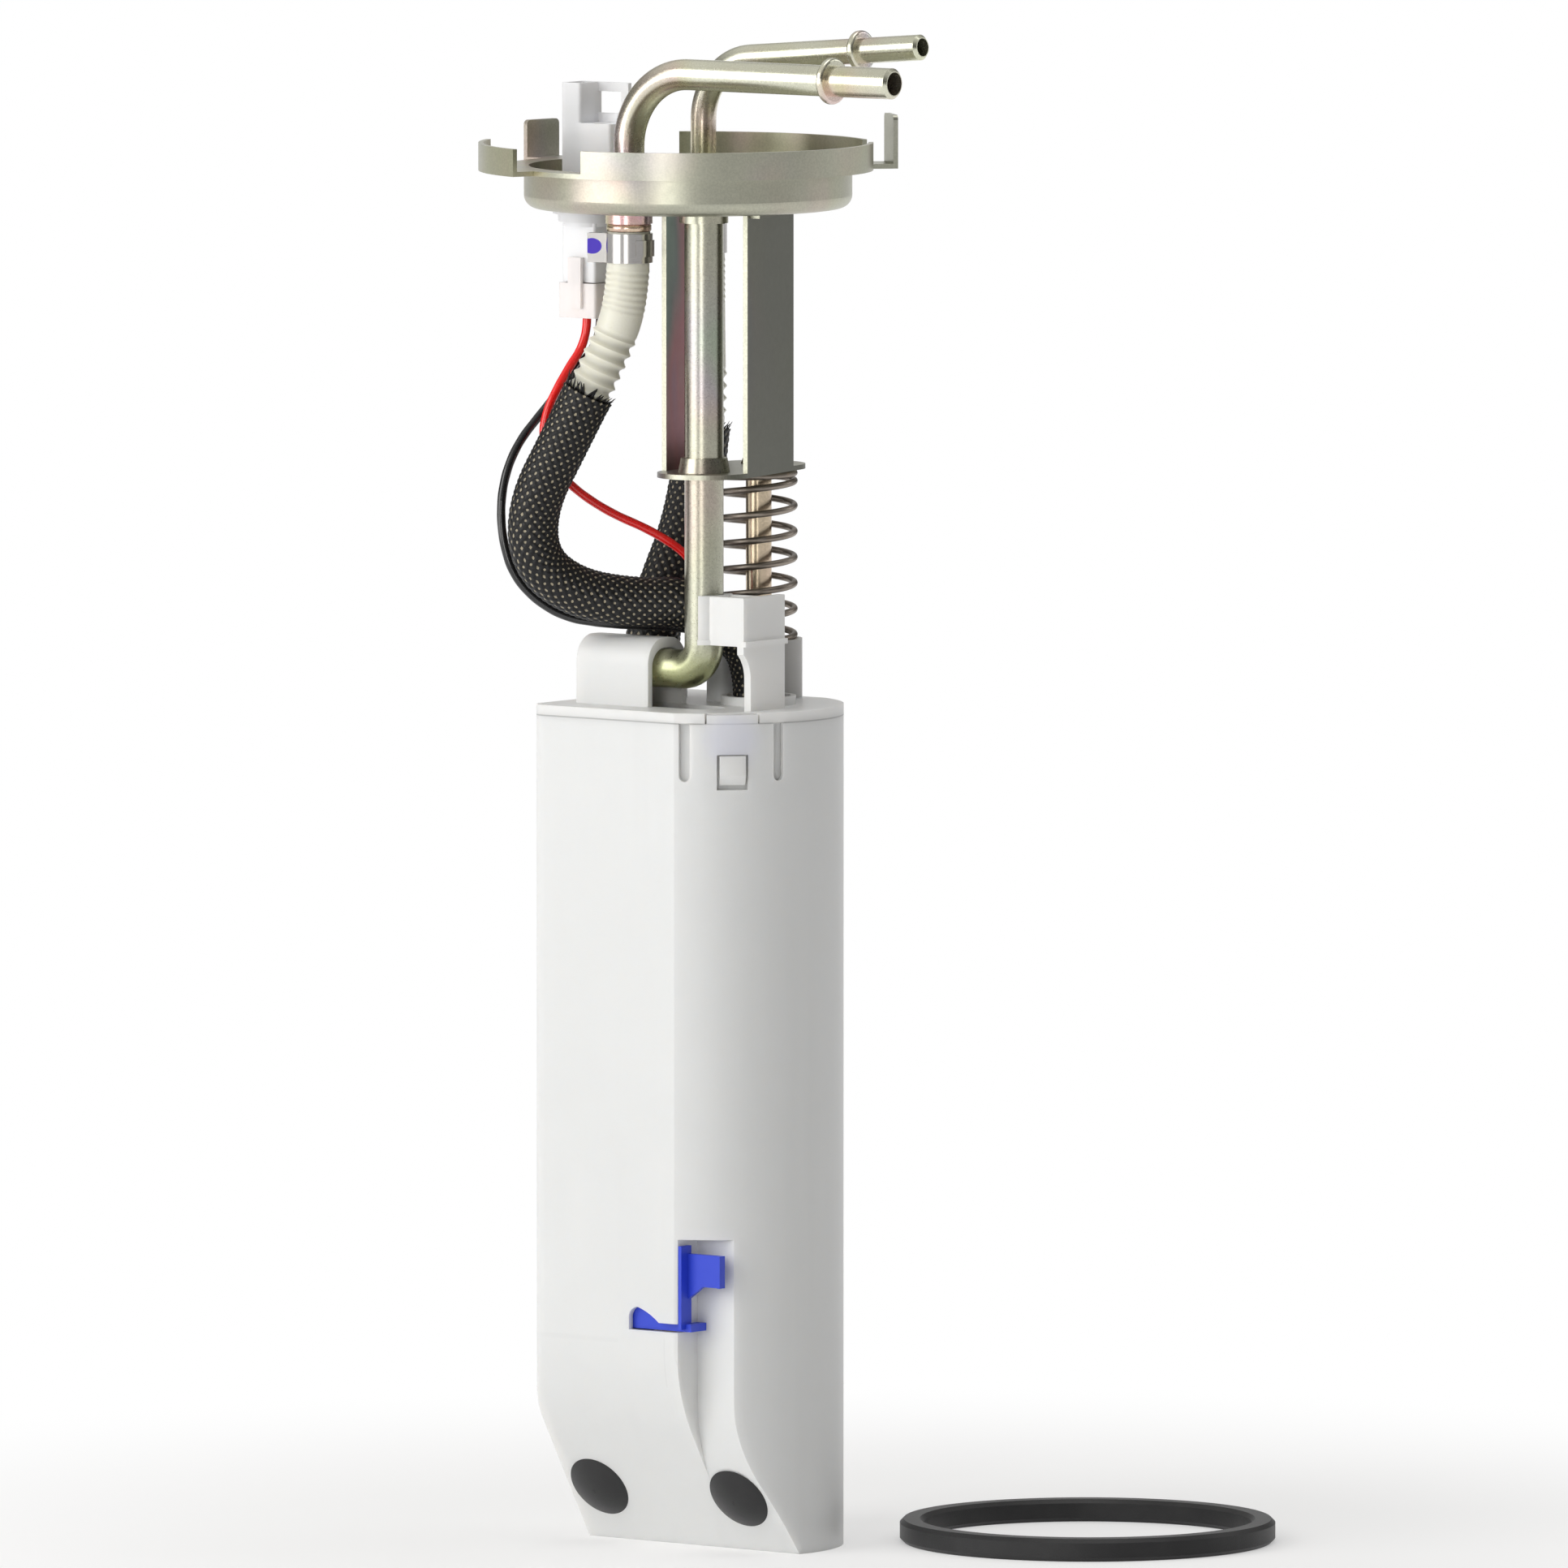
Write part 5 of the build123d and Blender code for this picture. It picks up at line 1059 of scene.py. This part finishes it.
class PUMP_OT_motor(PumpOperator, bpy.types.Operator):
    """Finish the pump's can, motor and chamber"""

    bl_idname = "pump.motor"
    bl_label = "Pump and motor"

    def execute(self, context):
        steel = self.colours.stainless
        dress(worn_metal("can_steel", steel, 0.24, 0.75), "pump_shell")
        dress(worn_metal("shaft_steel", shade(steel, 1.05), 0.16, 0.8), "motor_shaft", "brush_springs")
        dress(worn_metal("core_steel", shade(steel, 0.62), 0.36, 0.55), "armature_core")
        dress(worn_metal("winding_copper", (0.70, 0.30, 0.12), 0.26, 0.55), "armature_windings")
        dress(worn_metal("commutator_copper", (0.80, 0.42, 0.22), 0.20, 0.5), "commutator")
        dress(pressed_powder("brush_carbon", (0.05, 0.05, 0.05)), "brushes")
        dress(pressed_powder("magnet_ferrite", (0.09, 0.09, 0.10)), "motor_magnets")
        chamber = moulded("chamber_plastic", (0.14, 0.14, 0.15), 0.40, 0.0)
        dress(chamber, "pump_inlet_cover", "pump_outlet_plate", "impeller", "pump_end_cap")
        return {"FINISHED"}


class PUMP_OT_stage(PumpOperator, bpy.types.Operator):
    """Set up the camera, the pale floor and the soft lights"""

    bl_idname = "pump.stage"
    bl_label = "Stage and camera"

    def execute(self, context):
        scene = context.scene
        scene.view_settings.view_transform = "Standard"
        self.make_camera(scene)
        self.make_floor()
        self.make_world(scene)
        for name, place, size, power, tone in (
                ("key_light", (-0.70, -1.55, 0.80), 1.3, 18.5, (1.0, 0.995, 0.98)),
                ("fill_light", (0.70, -1.65, 0.50), 0.5, 4.6, (1.0, 0.985, 0.96)),
                ("top_light", (0.1, 0.2, 1.8), 0.9, 4.0, WHITE),
                ("rim_light", (0.9, 1.3, 0.9), 0.7, 3.0, WHITE)):
            data = bpy.data.lights.new(name, "AREA")
            data.size = size
            data.energy = power
            data.color = tone
            lamp = bpy.data.objects.new(name, data)
            lamp.location = place
            lamp.rotation_euler = (LIGHT_TARGET - Vector(place)).to_track_quat("-Z", "Y").to_euler()
            scene.collection.objects.link(lamp)
        return {"FINISHED"}

    def make_camera(self, scene):
        """A long lens from the front right, just above the middle."""
        level = Vector((math.sin(CAMERA_AZIMUTH), -math.cos(CAMERA_AZIMUTH), 0.0))
        towards = level * math.cos(CAMERA_ELEVATION)
        towards.z = math.sin(CAMERA_ELEVATION)
        data = bpy.data.cameras.new("camera")
        data.sensor_width = SENSOR_WIDTH
        data.lens = SENSOR_WIDTH * CAMERA_AWAY / SEEN_WIDTH
        data.clip_end = 60.0
        camera = bpy.data.objects.new("camera", data)
        camera.location = CAMERA_TARGET + towards * CAMERA_AWAY
        camera.rotation_euler = (-towards).to_track_quat("-Z", "Y").to_euler()
        scene.collection.objects.link(camera)
        scene.camera = camera

    def make_floor(self):
        """A pale floor that fades into the white background away from the part."""
        corners = ((-1, -1), (1, -1), (1, 1), (-1, 1))
        points = [(FLOOR_REACH * across_x, FLOOR_REACH * across_y, 0) for across_x, across_y in corners]
        finish = Finish("floor_paper")
        under_part = (0.04, 0.03)
        fade = finish.steps(finish.away_from(under_part), 0.12, 0.45)
        finish.set(Base_Color=finish.mix(finish.noise(3.0, 2.0), (0.95, 0.95, 0.95), (0.97, 0.97, 0.97)),
                   Roughness=0.7 + 0.1 * finish.noise(40.0, 3.0))
        eye, mirrored = finish.seen_rays()
        white = finish.node("ShaderNodeEmission", None, {"Color": WHITE, "Strength": 1.0})
        share = finish.sum("MAXIMUM", eye, mirrored) * (0.4 + 0.6 * fade)
        finish.show(share, finish.shader.outputs[0], white.outputs[0], "Material Output")
        floor = new_piece("floor", points, [(0, 1, 2, 3)], finish)

    def make_world(self, scene):
        """White paper behind the part, in a grey room that is darker in front and to the right."""
        world = bpy.data.worlds.new("room")
        world.use_nodes = True
        scene.world = world
        room = Shading(world.node_tree, "Generated")
        height = Value(room, room.node("ShaderNodeSeparateXYZ", None, {0: room.place}).outputs["Z"])
        behind = room.dot(room.place, BEHIND)
        level = 0.13 + 0.55 * room.steps(height, 0.15, 0.75)
        level = level * (1.0 - 0.6 * room.steps(0.0 - behind, 0.45, 0.9))
        right = room.dot(room.place, TO_THE_RIGHT)
        level = level * (1.0 - 0.6 * room.steps(right, 0.1, 0.8))
        eye, mirrored = room.seen_rays()
        paper = room.sum("MAXIMUM", eye, mirrored * room.steps(behind, 0.93, 0.98))
        white = room.node("ShaderNodeBackground", None, {"Color": WHITE, "Strength": 1.0})
        grey = room.node("ShaderNodeBackground", None, {"Color": (1.0, 0.985, 0.96), "Strength": level})
        room.show(paper, grey.outputs[0], white.outputs[0], "World Output")


OPERATORS = (PUMP_OT_stage, PUMP_OT_hoses, PUMP_OT_leads, PUMP_OT_spring, PUMP_OT_flange, PUMP_OT_clamps,
             PUMP_OT_connector, PUMP_OT_reservoir, PUMP_OT_latch, PUMP_OT_rubber, PUMP_OT_fuel_path,
             PUMP_OT_motor)


class PUMP_PT_panel(bpy.types.Panel):
    """Lists the steps that dress the module, with its sizes and colours"""

    bl_idname = "PUMP_PT_panel"
    bl_label = "Fuel pump module"
    bl_space_type = "VIEW_3D"
    bl_region_type = "UI"
    bl_category = "Fuel pump"

    def draw(self, context):
        for operator in OPERATORS:
            self.layout.operator(operator.bl_idname)
        for group in (context.scene.pump_sizes, context.scene.pump_colours):
            box = self.layout.box()
            for name in group.__annotations__:
                box.prop(group, name)


CLASSES = (PumpSizes, PumpColours, *OPERATORS, PUMP_PT_panel)


def register():
    """Adds the classes and the scene's settings."""
    for made in CLASSES:
        bpy.utils.register_class(made)
    bpy.types.Scene.pump_sizes = PointerProperty(type=PumpSizes)
    bpy.types.Scene.pump_colours = PointerProperty(type=PumpColours)


def unregister():
    """Takes the classes and the scene's settings away again."""
    del bpy.types.Scene.pump_sizes
    del bpy.types.Scene.pump_colours
    for made in reversed(CLASSES):
        bpy.utils.unregister_class(made)


def main():
    """Makes the whole module."""
    register()
    for operator in OPERATORS:
        group, name = operator.bl_idname.split(".")
        getattr(getattr(bpy.ops, group), name)()
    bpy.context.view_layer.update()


if __name__ == "__main__":
    main()
